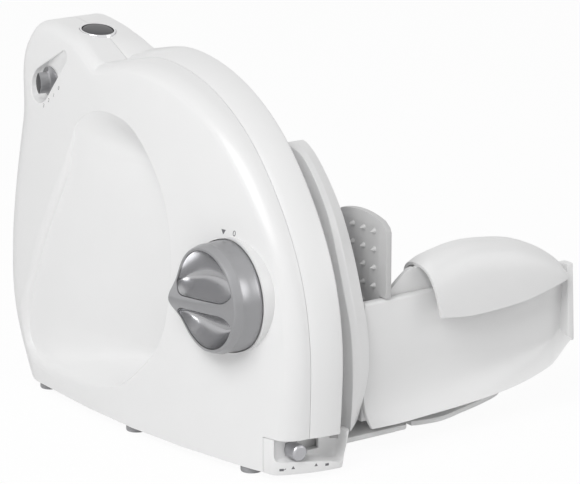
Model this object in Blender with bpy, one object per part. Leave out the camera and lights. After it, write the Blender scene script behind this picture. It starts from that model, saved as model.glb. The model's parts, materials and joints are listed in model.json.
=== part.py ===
"""Household food slicer with a round blade, in metres, +Z up, standing on z = 0.

+X runs from the motor side to the carriage, +Y from the knob end to the rear.
All sizes below are measured from the front bottom corner of the housing.
"""

import math

import bmesh
import bpy
from mathutils import Matrix, Vector

# Clearances and walls
GAP = 0.0003
RUN = 0.00035
WALL = 0.0025
OVERCUT = 0.001

# Housing
PART_X = 0.005
RIM_X = 0.026
FACE_X = -0.041
FACE_TOE_Y = 0.165
FACE_TOE_Z = 0.006
FACE_BOW_Y = 1.1
FACE_BOW_Z = 2.0
BOTTOM_Z = 0.004
FRONT_EDGE = [
    (-0.0165, -0.026), (-0.0190, 0.006), (-0.0215, 0.040), (-0.0215, 0.080), (-0.0140, 0.117),
    (0.0030, 0.151), (0.0300, 0.184), (0.0600, 0.206), (0.0950, 0.2195), (0.1350, 0.2235),
    (0.1760, 0.2155),
]
REAR_EDGE = [
    (0.1760, 0.2155), (0.2000, 0.2262), (0.2230, 0.2302), (0.2420, 0.2308), (0.2560, 0.2238), (0.2650, 0.2000),
    (0.2675, 0.1500), (0.2680, 0.0900), (0.2620, 0.0450), (0.2435, 0.0050), (0.2220, -0.026),
]
POLAR_Y = 0.120
POLAR_Z = 0.105
RIM_FLARE = 0.0045
RIM_ROUND = 0.0018
FRONT_ROUND = 0.0075
FRONT_ROUND_DEPTH = 0.012
TOWER_ROUND = 0.007
REAR_ROUND = 0.025
TOWER_FOOT_Z = 0.165
TOWER_HEAD_Z = 0.215

# Slice chute in the left face
CHUTE_EDGE = [
    (0.1500, 0.1900), (0.1280, 0.1865), (0.1070, 0.1730), (0.0900, 0.1540), (0.0800, 0.1320),
    (0.0758, 0.1100), (0.0765, 0.0850), (0.0820, 0.0640), (0.0960, 0.0460), (0.1160, 0.0300),
    (0.1420, 0.0225), (0.1850, 0.0200), (0.2120, 0.0205), (0.2270, 0.0280), (0.2300, 0.0440),
    (0.2250, 0.0640), (0.2150, 0.0920), (0.2030, 0.1190), (0.1920, 0.1430), (0.1880, 0.1620),
    (0.1850, 0.1770), (0.1700, 0.1870),
]
CHUTE_SPINE = [(0.100, 0.044), (0.092, 0.060), (0.086, 0.080), (0.085, 0.110), (0.089, 0.130), (0.104, 0.160)]
CHUTE_FLOOR_X = -0.006
WINDOW_LOW_Z = 0.030
WINDOW_HIGH_Z = 0.150
WINDOW_LEFT_Y = (0.0715, 0.0870)
WINDOW_RIGHT_Y = (0.0500, 0.0755)

# Blade and gear train
BLADE_Y = 0.120
BLADE_RADIUS = 0.085
BLADE_FOOT = 0.013
BLADE_Z = BLADE_RADIUS + BLADE_FOOT
BLADE_THICK = 0.001
BLADE_FACE_X = 0.057
BLADE_BEVEL = 0.006
BLADE_SCALLOPS = 36
SCALLOP_DEPTH = 0.0012
SHAFT_RADIUS = 0.005
CARRIER_RADIUS = 0.028
CARRIER_THICK = 0.003
CAP_RADIUS = 0.013
CAP_THICK = 0.0014
DRUM_RADIUS = 0.038
DRUM_X = 0.052
BUSH_RADIUS = 0.009
GUARD_CLEAR = 0.0025
GUARD_WALL = 0.003
GUARD_FROM = 82.0
GUARD_TO = 232.0

DRIVE_X = 0.005
WHEEL_TEETH = 36
WHEEL_WIDTH = 0.007
WORM_STARTS = 3
WHEEL_PITCH_RADIUS = 0.028
WORM_PITCH_RADIUS = 0.007
WORM_PITCH = 2 * math.pi * WHEEL_PITCH_RADIUS / WHEEL_TEETH
MOTOR_Z = BLADE_Z + WHEEL_PITCH_RADIUS + WORM_PITCH_RADIUS
WORM_BUSH_RADIUS = 0.0055
HUB_HOLE = 0.008
TOOTH_ADDENDUM = 0.0013
TOOTH_DEDENDUM = 0.0019
TOOTH_SHARE = 0.36
WORM_HALF = 0.012
SHAFT_LEFT_X = -0.002
MOTOR_SHAFT_RADIUS = 0.0025
MOTOR_RADIUS = 0.0184
MOTOR_Y = (0.152, 0.206)
MOTOR_WALL = 0.0015
ROTOR_RADIUS = 0.011
STATOR_WALL = 0.005
ROTOR_Y = (0.165, 0.192)
FAN_Y = (0.1960, 0.2010)
COMMUTATOR_Y = (0.1565, 0.1625)
COMMUTATOR_RADIUS = 0.006
SHAFT_FRONT_Y = 0.099
BRACKET_Y = ((0.0980, 0.1020), (0.1370, 0.1410))
BRACKET_X = (-0.0025, 0.0237)
BRACKET_Z = (0.1235, 0.1425)

# Stop plate
PLATE_X = 0.043
PLATE_CLEAR = 0.002
PLATE_TRAVEL = 0.015
PLATE_ARC_SHARE = 0.908
PLATE_BOTTOM_Z = BLADE_Z - PLATE_ARC_SHARE * (BLADE_RADIUS + PLATE_CLEAR)
PLATE_RIDGE = 0.32
PLATE_LEFT_EDGE = [
    (0.0610, 0.1810), (0.0500, 0.1795), (0.0390, 0.1750), (0.0260, 0.1620), (0.0140, 0.1445), (0.0050, 0.1220),
    (-0.0020, 0.1020), (-0.0080, 0.0840), (-0.0105, 0.0650), (-0.0110, 0.0460), (-0.0090, PLATE_BOTTOM_Z),
]
PLATE_RIGHT_EDGE = [
    (0.0610, 0.1810), (0.0560, 0.1798), (0.0462, 0.1738), (0.0322, 0.1603), (0.0187, 0.1428), (0.0077, 0.1213),
    (0.0002, 0.1013), (-0.0053, 0.0838), (-0.0083, 0.0648), (-0.0058, 0.0450), (0.0040, PLATE_BOTTOM_Z),
]
PLATE_BULGE = 0.0016

# Thickness knob and its cam
KNOB_RADIUS = 0.0330
KNOB_EDGE_Y = -0.0045
KNOB_Y = KNOB_RADIUS + KNOB_EDGE_Y
KNOB_Z = 0.1045
KNOB_FRONT_RADIUS = 0.031
KNOB_FRONT_X = -0.0345
POCKET_X = -0.0156
DISH_DEPTH = 0.010
DISH_RADIUS = 0.029
BAR_HALF = 0.0040
BAR_Z = KNOB_Z - 0.003
BAR_TILT = 5.0
HUB_DEPTH = 0.0055
INSERT_GAP = 0.0004
INSERT_THICK = 0.0008
KNOB_SHAFT_RADIUS = 0.004
KNOB_TURN = 300.0
CAM_IN = 0.0095
CAM_OUT = 0.0155
CAM_TOP_X = 0.0103
FINGER_GAP = 0.0008
FINGER_HALF = 0.0018
SLEEVE_RADIUS = 0.008
ROD_RADIUS = 0.0035
ROD_PLACES = {"upper": (0.040, 0.158), "lower": (0.030, 0.044)}
ROD_LEFT_X = 0.006

# Controls on the tower
SWITCH_Y = 0.231
SWITCH_Z = 0.194
SWITCH_RADIUS = 0.0095
SWITCH_FLOOR_X = -0.0175
SWITCH_PROUD = 0.0092
STEM_RADIUS = 0.0025
LEAF_LENGTH = 0.0135
LEAF_WIDTH = 0.0058
RECESS_RADIUS = 0.0112
RECESS_TIP_Y = 0.2125
RECESS_TIP_Z = 0.2125
RECESS_TIP_RADIUS = 0.0045
BUTTON_X = 0.004
BUTTON_Y = 0.209
BUTTON_RADIUS = 0.0098
BUTTON_RING = 0.0012
BUTTON_TRAVEL = 0.004
BUTTON_TOP_Z = REAR_EDGE[1][1] + 0.0021
BUTTON_FOOT_Z = BUTTON_TOP_Z - 0.0123
BUTTON_SLOPE = 0.17
SAFETY_SWITCH_Z = (BUTTON_FOOT_Z - 0.018, BUTTON_FOOT_Z - 0.010)
SPRING_RADIUS = 0.0040
SPRING_WIRE = 0.0004
SPRING_TURNS = 4
BOARD_X = (0.0080, 0.0096)
BOARD_POST_Y = 0.232
BOARD_POST_Z = (0.158, 0.184)

# Base, deck and feet
BASE_TOP_Z = 0.008
PLATE_GAP = 0.0010
BLOCK_TOP_Z = 0.0255
BLOCK_BACK_Y = -0.003
BLOCK_LEAN = (-0.0030, 0.0020)
BLOCK_PLAN = [
    (-0.0155, -0.0030), (-0.0135, -0.0100), (-0.0090, -0.0135), (0.0, -0.0170), (0.0080, -0.0194),
    (0.0170, -0.0212), (0.0260, -0.0222), (0.0310, -0.0215), (0.0330, -0.0185), (0.0330, -0.0030),
]
LOCK_X = 0.0
LOCK_Z = 0.0175
LOCK_TRAVEL = 0.016
LOCK_HALF = 0.006
LOCK_BACK_Y = -0.0067
LOCK_FLOOR_Y = -0.0090
PIN_RADIUS = 0.0049
PIN_NECK_RADIUS = 0.0035
PIN_TIP_Y = -0.0195
SCOOP_EDGE = [
    (-0.0145, 0.0175), (-0.0142, 0.0145), (-0.0122, 0.0124), (-0.0090, 0.0118), (0.0, 0.0115), (0.0100, 0.0106),
    (0.0180, 0.0094), (0.0245, 0.0080), (0.0283, 0.0078), (0.0304, 0.0095), (0.0312, 0.0125),
]
ARM_X = 0.090
ARM_Y = (0.010, 0.225)
DECK_X = (0.034, 0.0925)
DECK_Y = (0.0, 0.230)
DECK_TOP_Z = 0.0115
RAIL_X = 0.084
RAIL_HALF = 0.0016
RAIL_TOP_Z = 0.0152
FOOT_RADIUS = 0.0066
FEET = {
    "front_left": (-0.0128, 0.0130), "middle_left": (-0.0310, 0.112), "rear_left": (-0.0335, 0.2125),
    "rear_right": (0.0090, 0.2290), "deck_front": (0.0780, 0.0300), "deck_rear": (0.0780, 0.2050),
}
WING_FOOT = (0.160, 0.060)
WING_EDGE = [
    (0.0970, 0.0030), (0.1040, 0.0010), (0.1180, 0.0), (0.1370, 0.0050), (0.1570, 0.0110), (0.1760, 0.0190),
    (0.1845, 0.0300), (0.1865, 0.0500), (0.1840, 0.0750), (0.1760, 0.0980), (0.1620, 0.1150), (0.1420, 0.1260),
    (0.1200, 0.1300),
]

# Carriage and food holder
CARRIAGE_X = (0.0595, 0.212)
FLANGE_X = 0.216
WALL_TOP_Z = 0.093
WALL_THICK = 0.005
FLOOR_Z = 0.0215
FLOOR_THICK = 0.003
FLOOR_REAR_Y = 0.104
SKIN = 0.0022
CREASE = [(0.0595, 0.0590), (0.0910, 0.0581), (0.1300, 0.0556), (0.1730, 0.0500), (0.2060, 0.0480)]
FLARE = [
    (0.0610, 0.0340), (0.0705, 0.0414), (0.0820, 0.0470), (0.0960, 0.0490), (0.1120, 0.0500), (0.1280, 0.0498),
    (0.1515, 0.0460), (0.1725, 0.0440),
]
SKIRT_FOOT = [
    (0.0610, 0.0172), (0.0800, 0.0169), (0.0985, 0.0177), (0.1260, 0.0190), (0.1530, 0.0213), (0.1740, 0.0248),
    (0.1950, 0.0313), (0.2020, 0.0369), (0.2090, 0.0438), (0.2120, 0.0460),
]
RUNNERS = {"front": (0.008, 0.030), "rear": (0.075, 0.097)}

PLATE_SPIKED_X = (0.074, 0.078)
SPIKED_Y = (-0.001, 0.051)
SPIKED_TOP_Z = 0.138
SPIKED_CROWN = 0.005
SPIKE_PITCH = 0.0112
SPIKE_HALF = 0.0019
SPIKE_HEIGHT = 0.003
PANEL_Y = (0.0054, 0.0084)
PANEL_LOW_Z = 0.076
PANEL_EDGE = [(0.0842, 0.0985), (0.0895, 0.1030), (0.0947, 0.1068)]
DOME_LEFT = ((0.079, 0.1076), (0.112, 0.1006))
DOME_RIGHT_X = 0.2082
DOME_MIDDLE_Y = 0.006
DOME_HALF_Y = 0.018
DOME_CREST = [
    (0.1000, 0.1095), (0.1080, 0.1132), (0.1213, 0.1163), (0.1294, 0.1176), (0.1416, 0.1180), (0.1623, 0.1158),
    (0.1762, 0.1127), (0.1904, 0.1067), (0.2019, 0.0991), (0.2082, 0.0930),
]
DOME_LIP = [
    (0.1076, 0.0790), (0.1218, 0.0770), (0.1354, 0.0763), (0.1490, 0.0767), (0.1628, 0.0777), (0.1767, 0.0792),
    (0.1906, 0.0820), (0.2082, 0.0855),
]
DOME_WALL = 0.002
NOTCH_Y = (-0.0062, 0.0098)

# Wall of the housing's rear cable bush, and the screws
BUSH_X = 0.0150
BUSH_Z = 0.040
CABLE_BUSH_RADIUS = 0.0045
SCREW_RADIUS = 0.0015
SCREW_HEAD = 0.0032
BOSS_RADIUS = 0.0047
BOSS_TOP_Z = 0.0172
BASE_SCREWS = {"left_front": (-0.0183, 0.034), "left_rear": (-0.0344, 0.184), "right_rear": (0.0205, 0.2335)}
SHELL_SCREWS = {"top": (0.140, 0.208), "rear": (REAR_EDGE[7][0] - 0.0130, BLADE_Z + 0.022)}


def clear_scene():
    for item in list(bpy.data.objects):
        bpy.data.objects.remove(item, do_unlink=True)


def finish(name, colour, roughness, metallic=0.0):
    material = bpy.data.materials.new(name)
    material.use_nodes = True
    shader = material.node_tree.nodes["Principled BSDF"]
    shader.inputs["Base Color"].default_value = (*colour, 1.0)
    shader.inputs["Roughness"].default_value = roughness
    shader.inputs["Metallic"].default_value = metallic
    material.diffuse_color = (*colour, 1.0)
    return material


def empty(name, place, parent=None):
    holder = bpy.data.objects.new(name, None)
    holder.location = place
    holder.parent = parent
    bpy.context.scene.collection.objects.link(holder)
    return holder


class Body:
    """A group of pieces that move together, on an empty that stands on their joint's axis."""

    def __init__(self, name, pivot, root):
        self.pivot = Vector(pivot)
        self.empty = empty(name, self.pivot, root)


def add_piece(name, mesh, body, material, smooth=40.0):
    """An object for a mesh that is drawn in the slicer's frame."""
    bmesh.ops.remove_doubles(mesh, verts=mesh.verts, dist=1e-6)
    bmesh.ops.connect_verts_nonplanar(mesh, angle_limit=1e-4, faces=mesh.faces)
    bmesh.ops.recalc_face_normals(mesh, faces=mesh.faces)
    data = bpy.data.meshes.new(name)
    mesh.to_mesh(data)
    mesh.free()
    data.transform(Matrix.Translation(-body.pivot))
    if smooth:
        data.shade_smooth()
        data.set_sharp_from_angle(angle=math.radians(smooth))
    obj = bpy.data.objects.new(name, data)
    obj.parent = body.empty
    if material:
        data.materials.append(material)
    bpy.context.scene.collection.objects.link(obj)
    return obj


def combine(obj, operation, mesh, label, body):
    """Cuts a helper shape from an object, or joins it on, with a Boolean."""
    helper = add_piece(f"{obj.name}_{label}", mesh, body, None, smooth=0)
    helper.hide_render = True
    helper.display_type = "WIRE"
    modifier = obj.modifiers.new(label, "BOOLEAN")
    modifier.operation = operation
    modifier.solver = "EXACT"
    modifier.object = helper
    return helper


def cut(obj, mesh, label, body):
    return combine(obj, "DIFFERENCE", mesh, label, body)


def unite(obj, mesh, label, body):
    return combine(obj, "UNION", mesh, label, body)


def merge(*meshes):
    """Several closed shapes that don't touch, as one mesh."""
    whole = bmesh.new()
    for mesh in meshes:
        data = bpy.data.meshes.new("shape")
        bmesh.ops.recalc_face_normals(mesh, faces=mesh.faces)
        mesh.to_mesh(data)
        mesh.free()
        whole.from_mesh(data)
        bpy.data.meshes.remove(data)
    return whole


def on_axis(axis, along, first, second):
    """A point from its place along an axis and its two other coordinates in X, Y, Z order."""
    if axis == "X":
        return Vector((along, first, second))
    if axis == "Y":
        return Vector((first, along, second))
    return Vector((first, second, along))


def loft(rings, closed=False):
    """A closed solid through rings of equal length, with its ends filled or joined."""
    mesh = bmesh.new()
    layers = [[mesh.verts.new(point) for point in ring] for ring in rings]
    count = len(layers[0])
    pairs = list(zip(layers, layers[1:]))
    if closed:
        pairs.append((layers[-1], layers[0]))
    for low, high in pairs:
        for i in range(count):
            j = (i + 1) % count
            mesh.faces.new((low[i], low[j], high[j], high[i]))
    if not closed:
        mesh.faces.new(layers[0])
        mesh.faces.new(layers[-1])
    return mesh


def prism(axis, outline, low, high):
    return loft([[on_axis(axis, along, *point) for point in outline] for along in (low, high)])


def box(low, high):
    outline = [(low[0], low[1]), (high[0], low[1]), (high[0], high[1]), (low[0], high[1])]
    return prism("Z", outline, low[2], high[2])


def circle(radius, steps, centre=(0.0, 0.0), start=0.0):
    """Points of a circle, as pairs of coordinates."""
    points = []
    for k in range(steps):
        angle = start + 2 * math.pi * k / steps
        points.append((centre[0] + radius * math.cos(angle), centre[1] + radius * math.sin(angle)))
    return points


def lathe(axis, centre, profile, steps=40):
    """A solid turned about an axis, from an open profile that ends on the axis or a closed one off it."""
    mesh = bmesh.new()
    rows = []
    for radius, along in profile:
        if radius < 1e-7:
            rows.append([mesh.verts.new(on_axis(axis, along, *centre))])
        else:
            rows.append([mesh.verts.new(on_axis(axis, along, *p)) for p in circle(radius, steps, centre)])
    pairs = list(zip(rows, rows[1:]))
    if profile[0][0] > 1e-7:
        pairs.append((rows[-1], rows[0]))
    for low, high in pairs:
        for i in range(steps):
            j = (i + 1) % steps
            corners = [low[i % len(low)], low[j % len(low)], high[j % len(high)], high[i % len(high)]]
            unique = list(dict.fromkeys(corners))
            if len(unique) > 2:
                mesh.faces.new(unique)
    return mesh


def disc(axis, centre, radius, low, high, steps=40):
    return lathe(axis, centre, [(0.0, low), (radius, low), (radius, high), (0.0, high)], steps)


def ring(axis, centre, inner, outer, low, high, steps=40):
    return lathe(axis, centre, [(inner, low), (outer, low), (outer, high), (inner, high)], steps)


def spline(points, steps):
    """Points of a smooth curve through the given points, the last one left out."""
    knots = [Vector(p) for p in points]
    knots = [2 * knots[0] - knots[1]] + knots + [2 * knots[-1] - knots[-2]]
    curve = []
    for a, b, c, d in zip(knots, knots[1:], knots[2:], knots[3:]):
        for k in range(steps):
            t = k / steps
            curve.append(0.5 * (2 * b + (c - a) * t + (2 * a - 5 * b + 4 * c - d) * t**2
                                + (3 * b - 3 * c + d - a) * t**3))
    return curve


def closed_spline(points, steps):
    """Points of a smooth closed curve through the given points."""
    count = len(points)
    wrapped = [points[k % count] for k in range(-1, count + 2)]
    return spline(wrapped, steps)[steps:-steps]


def between(table, value):
    """Straight interpolation in a table of rising (key, result) pairs."""
    if value <= table[0][0]:
        return table[0][1]
    for (low, first), (high, second) in zip(table, table[1:]):
        if value <= high:
            return first + (second - first) * (value - low) / (high - low)
    return table[-1][1]


def ease(t):
    t = min(max(t, 0.0), 1.0)
    return t * t * (3 - 2 * t)


def face_x(y, z):
    """The bowed left face of the housing."""
    return FACE_X + max(0.0, FACE_TOE_Y - y) ** 2 / FACE_BOW_Y + max(0.0, z - FACE_TOE_Z) ** 2 / FACE_BOW_Z


def side_outline(steps):
    """Samples of the housing's side outline: point, outward normal, flare of the rim, edge radius and its depth."""
    front = spline(FRONT_EDGE, steps)
    rear = spline(REAR_EDGE, steps)
    points = front + rear + [Vector(REAR_EDGE[-1])]
    last = len(points) - 1
    foot = [points[last].lerp(points[0], k / 4) for k in range(1, 4)]
    points += foot
    count = len(points)
    samples = []
    for i, point in enumerate(points):
        tangent = points[(i + 1) % count] - points[i - 1]
        if i in (len(front), last):
            tangent = points[i] - points[i - 1]
        elif i == 0:
            tangent = points[1] - points[0]
        normal = Vector((-tangent.y, tangent.x)).normalized()
        if i <= len(front):
            share = i / len(front)
            flare = RIM_FLARE * (0.45 + 0.55 * ease(share / 0.35))
            radius, depth = FRONT_ROUND, FRONT_ROUND_DEPTH
        elif i <= last:
            share = (i - len(front)) / len(rear)
            flare = RIM_FLARE * max(0.0, 1 - share / 0.10)
            low = ease((TOWER_HEAD_Z - point.y) / (TOWER_HEAD_Z - TOWER_FOOT_Z)) if share > 0.3 else 0.0
            radius = TOWER_ROUND + (REAR_ROUND - TOWER_ROUND) * low
            depth = radius
        else:
            normal = Vector((0.0, 0.0))
            flare, radius, depth = 0.0, FRONT_ROUND, FRONT_ROUND_DEPTH
        samples.append((point, normal, flare, radius, depth))
    return samples


def close_bottom(mesh, height):
    """Cuts a shape off at a height and fills the cut."""
    geometry = mesh.verts[:] + mesh.edges[:] + mesh.faces[:]
    bmesh.ops.bisect_plane(mesh, geom=geometry, plane_co=(0, 0, height), plane_no=(0, 0, 1), clear_inner=True)
    open_edges = [edge for edge in mesh.edges if edge.is_boundary]
    bmesh.ops.holes_fill(mesh, edges=open_edges)
    return mesh


def left_form(inset, right_x):
    """The bowed left half of the housing, set in by a wall's thickness where that is given."""
    samples = side_outline(2 if inset else 3)
    rings = [[Vector((right_x, *(point - normal * inset))) for point, normal, *_ in samples]]
    edge = []
    for turn in (0, 45, 90) if inset else (0, 30, 60, 90):
        angle = math.radians(turn)
        level = []
        for point, normal, _, radius, depth in samples:
            reach = max(radius - inset, WALL)
            spot = point - normal * (inset + reach * (1 - math.cos(angle)))
            face = face_x(*spot) + inset
            fall = min(max(depth - inset, WALL), 0.8 * (PART_X - face))
            level.append(Vector((face + fall * (1 - math.sin(angle)), *spot)))
        edge.append(level)
    rings += edge
    centre = Vector((POLAR_Y, POLAR_Z))
    for share in (0.35, 0.70) if inset else (0.15, 0.35, 0.60, 0.82):
        level = []
        for point in edge[-1]:
            spot = Vector((point.y, point.z)).lerp(centre, share)
            level.append(Vector((face_x(*spot) + inset, *spot)))
        rings.append(level)
    mesh = loft(rings)
    bmesh.ops.delete(mesh, geom=[max(mesh.faces, key=lambda f: (len(f.verts), -f.calc_center_median().x))],
                     context="FACES_ONLY")
    open_edges = [e for e in mesh.edges if e.is_boundary]
    pole = mesh.verts.new((face_x(*centre) + inset, *centre))
    for e in open_edges:
        mesh.faces.new((*e.verts, pole))
    return mesh


def right_form(inset, left_x, right_x):
    """The right half of the housing with its flared rim."""
    rings = []
    round_x = right_x - 0.0025
    for x, share, back in ((left_x, 0.0, 0.0), (PART_X + 0.004, 0.45, 0.0), (round_x, 1.0, 0.0),
                           (right_x, 1.0, RIM_ROUND)):
        level = []
        for point, normal, flare, *_ in side_outline(2 if inset else 3):
            level.append(Vector((x, *(point + normal * (flare * share - back - inset)))))
        rings.append(level)
    return loft(rings)


def chute_form(grow):
    """The slice chute: from outside the left face down to its slanted floor."""
    edge = closed_spline(CHUTE_EDGE, 1 if grow else 2)
    spine = sorted((z, y) for y, z in CHUTE_SPINE)
    count = len(edge)
    rows = []
    for i, point in enumerate(edge):
        tangent = edge[(i + 1) % count] - edge[i - 1]
        outward = Vector((tangent.y, -tangent.x)).normalized()
        height = min(max(point.y, spine[0][0]), spine[-1][0])
        target = Vector((between(spine, height), height))
        if (target - point).dot(outward) > 0:
            outward = -outward
        rows.append((point + outward * grow, target + outward * grow))
    levels = [[Vector((FACE_X - 0.02, *point)) for point, _ in rows]]
    floor = CHUTE_FLOOR_X + grow
    for share in (0.0, 0.20, 0.42, 0.66, 0.92) if grow else (0.0, 0.14, 0.30, 0.48, 0.68, 0.92):
        sunk = 0.45 * share / 0.92 + 0.55 * ease(share / 0.92)
        level = []
        for point, target in rows:
            start = face_x(*point) + grow
            level.append(Vector((start + (floor - start) * sunk, *point.lerp(target, share))))
        levels.append(level)
    return loft(levels)


def window_form(grow, left_x, right_x):
    """The slanted way that the slices take behind the knob column."""
    def edge(x, side):
        share = (x + 0.007) / 0.033
        return WINDOW_LEFT_Y[side] + (WINDOW_RIGHT_Y[side] - WINDOW_LEFT_Y[side]) * share
    outline = [
        (left_x, edge(left_x, 0) - grow), (right_x, edge(right_x, 0) - grow),
        (right_x, edge(right_x, 1) + grow), (left_x, edge(left_x, 1) + grow),
    ]
    return prism("Z", outline, WINDOW_LOW_Z - grow, WINDOW_HIGH_Z + grow)


def recess_form(grow):
    """The teardrop recess of the speed switch."""
    big = Vector((SWITCH_Y + 0.003, SWITCH_Z - 0.002))
    tip = Vector((RECESS_TIP_Y, RECESS_TIP_Z))
    along = (tip - big).normalized()
    heading = math.atan2(along.y, along.x)
    points = []
    for k in range(13):
        angle = heading + math.radians(80 + 200 * k / 12)
        points.append(big + Vector((math.cos(angle), math.sin(angle))) * (RECESS_RADIUS + grow))
    for k in range(7):
        angle = heading + math.radians(-80 + 160 * k / 6)
        points.append(tip + Vector((math.cos(angle), math.sin(angle))) * (RECESS_TIP_RADIUS + grow))
    return prism("X", [tuple(p) for p in points], FACE_X, SWITCH_FLOOR_X + grow)


def pocket_form(grow):
    return disc("X", (KNOB_Y, KNOB_Z), KNOB_RADIUS + 0.0006 + grow, FACE_X, POCKET_X + grow, 40)


def pad_form():
    """The round pad behind the knob, where the left face falls away to the front."""
    return disc("X", (KNOB_Y, KNOB_Z), KNOB_RADIUS + 0.0020, POCKET_X - 0.0005, PART_X - 0.0115, 48)


def block_space(grow):
    """Room for the base's front block under the housing."""
    return box((BLOCK_PLAN[0][0] - grow, -0.040, -0.010), (0.060, BLOCK_BACK_Y + grow, BLOCK_TOP_Z + grow))


def button_hole():
    outer = BUTTON_RADIUS + BUTTON_RING + 2 * GAP
    return disc("Z", (BUTTON_X, BUTTON_Y), outer, BUTTON_FOOT_Z - 0.010, 0.260, 36)


def base_posts(left):
    """Posts that take the base screws, standing on the base plate."""
    posts = []
    for x, y in BASE_SCREWS.values():
        if (x < PART_X) == left:
            posts.append((x, y))
    return posts


def link_space(grow):
    """Room under the shells' front wall for the strip between the base plate and the front block."""
    return box((-0.0100 - grow, -0.0060, -0.010), (0.0200 + grow, 0.0015, BASE_TOP_Z + grow))


def build_left_shell(body, white):
    shell = add_piece("housing_left_shell", close_bottom(left_form(0.0, PART_X), BOTTOM_Z), body, white, 30)
    hollow = close_bottom(left_form(WALL, PART_X + OVERCUT), BOTTOM_Z - OVERCUT)
    unite(shell, pad_form(), "pad", body)
    inner = cut(shell, hollow, "inside", body)
    cut(inner, chute_form(WALL), "chute_wall", body)
    cut(inner, window_form(WALL, CHUTE_FLOOR_X - 0.012, 0.020), "window_wall", body)
    cut(inner, recess_form(WALL), "recess_wall", body)
    cut(inner, pocket_form(WALL), "pocket_wall", body)
    cut(inner, block_space(GAP + WALL), "block_wall", body)
    bosses = [disc("X", place, BOSS_RADIUS, face_x(*place) + WALL / 2, PART_X, 16) for place in SHELL_SCREWS.values()]
    bosses += [disc("Z", place, BOSS_RADIUS, BASE_TOP_Z + GAP, BOSS_TOP_Z, 16) for place in base_posts(True)]
    cut(inner, merge(*bosses), "bosses", body)
    cut(shell, chute_form(0.0), "chute", body)
    cut(shell, window_form(0.0, CHUTE_FLOOR_X - 0.0015, 0.020), "window", body)
    cut(shell, recess_form(0.0), "recess", body)
    cut(shell, pocket_form(0.0), "pocket", body)
    cut(shell, block_space(GAP), "block", body)
    holes = [
        button_hole(),
        link_space(GAP),
        disc("X", (KNOB_Y, KNOB_Z), KNOB_SHAFT_RADIUS + 0.0015, POCKET_X - 0.002, POCKET_X + 0.006, 24),
        disc("X", (SWITCH_Y, SWITCH_Z), STEM_RADIUS + RUN, SWITCH_FLOOR_X - 0.002, SWITCH_FLOOR_X + 0.006, 20),
    ]
    for place in SHELL_SCREWS.values():
        holes.append(disc("X", place, SCREW_RADIUS + GAP, PART_X - 0.010, PART_X + 0.002, 12))
    for place in base_posts(True):
        holes.append(disc("Z", place, SCREW_RADIUS + GAP, BASE_TOP_Z - 0.001, BOSS_TOP_Z - 0.001, 12))
    cut(shell, merge(*holes), "holes", body)


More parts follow.
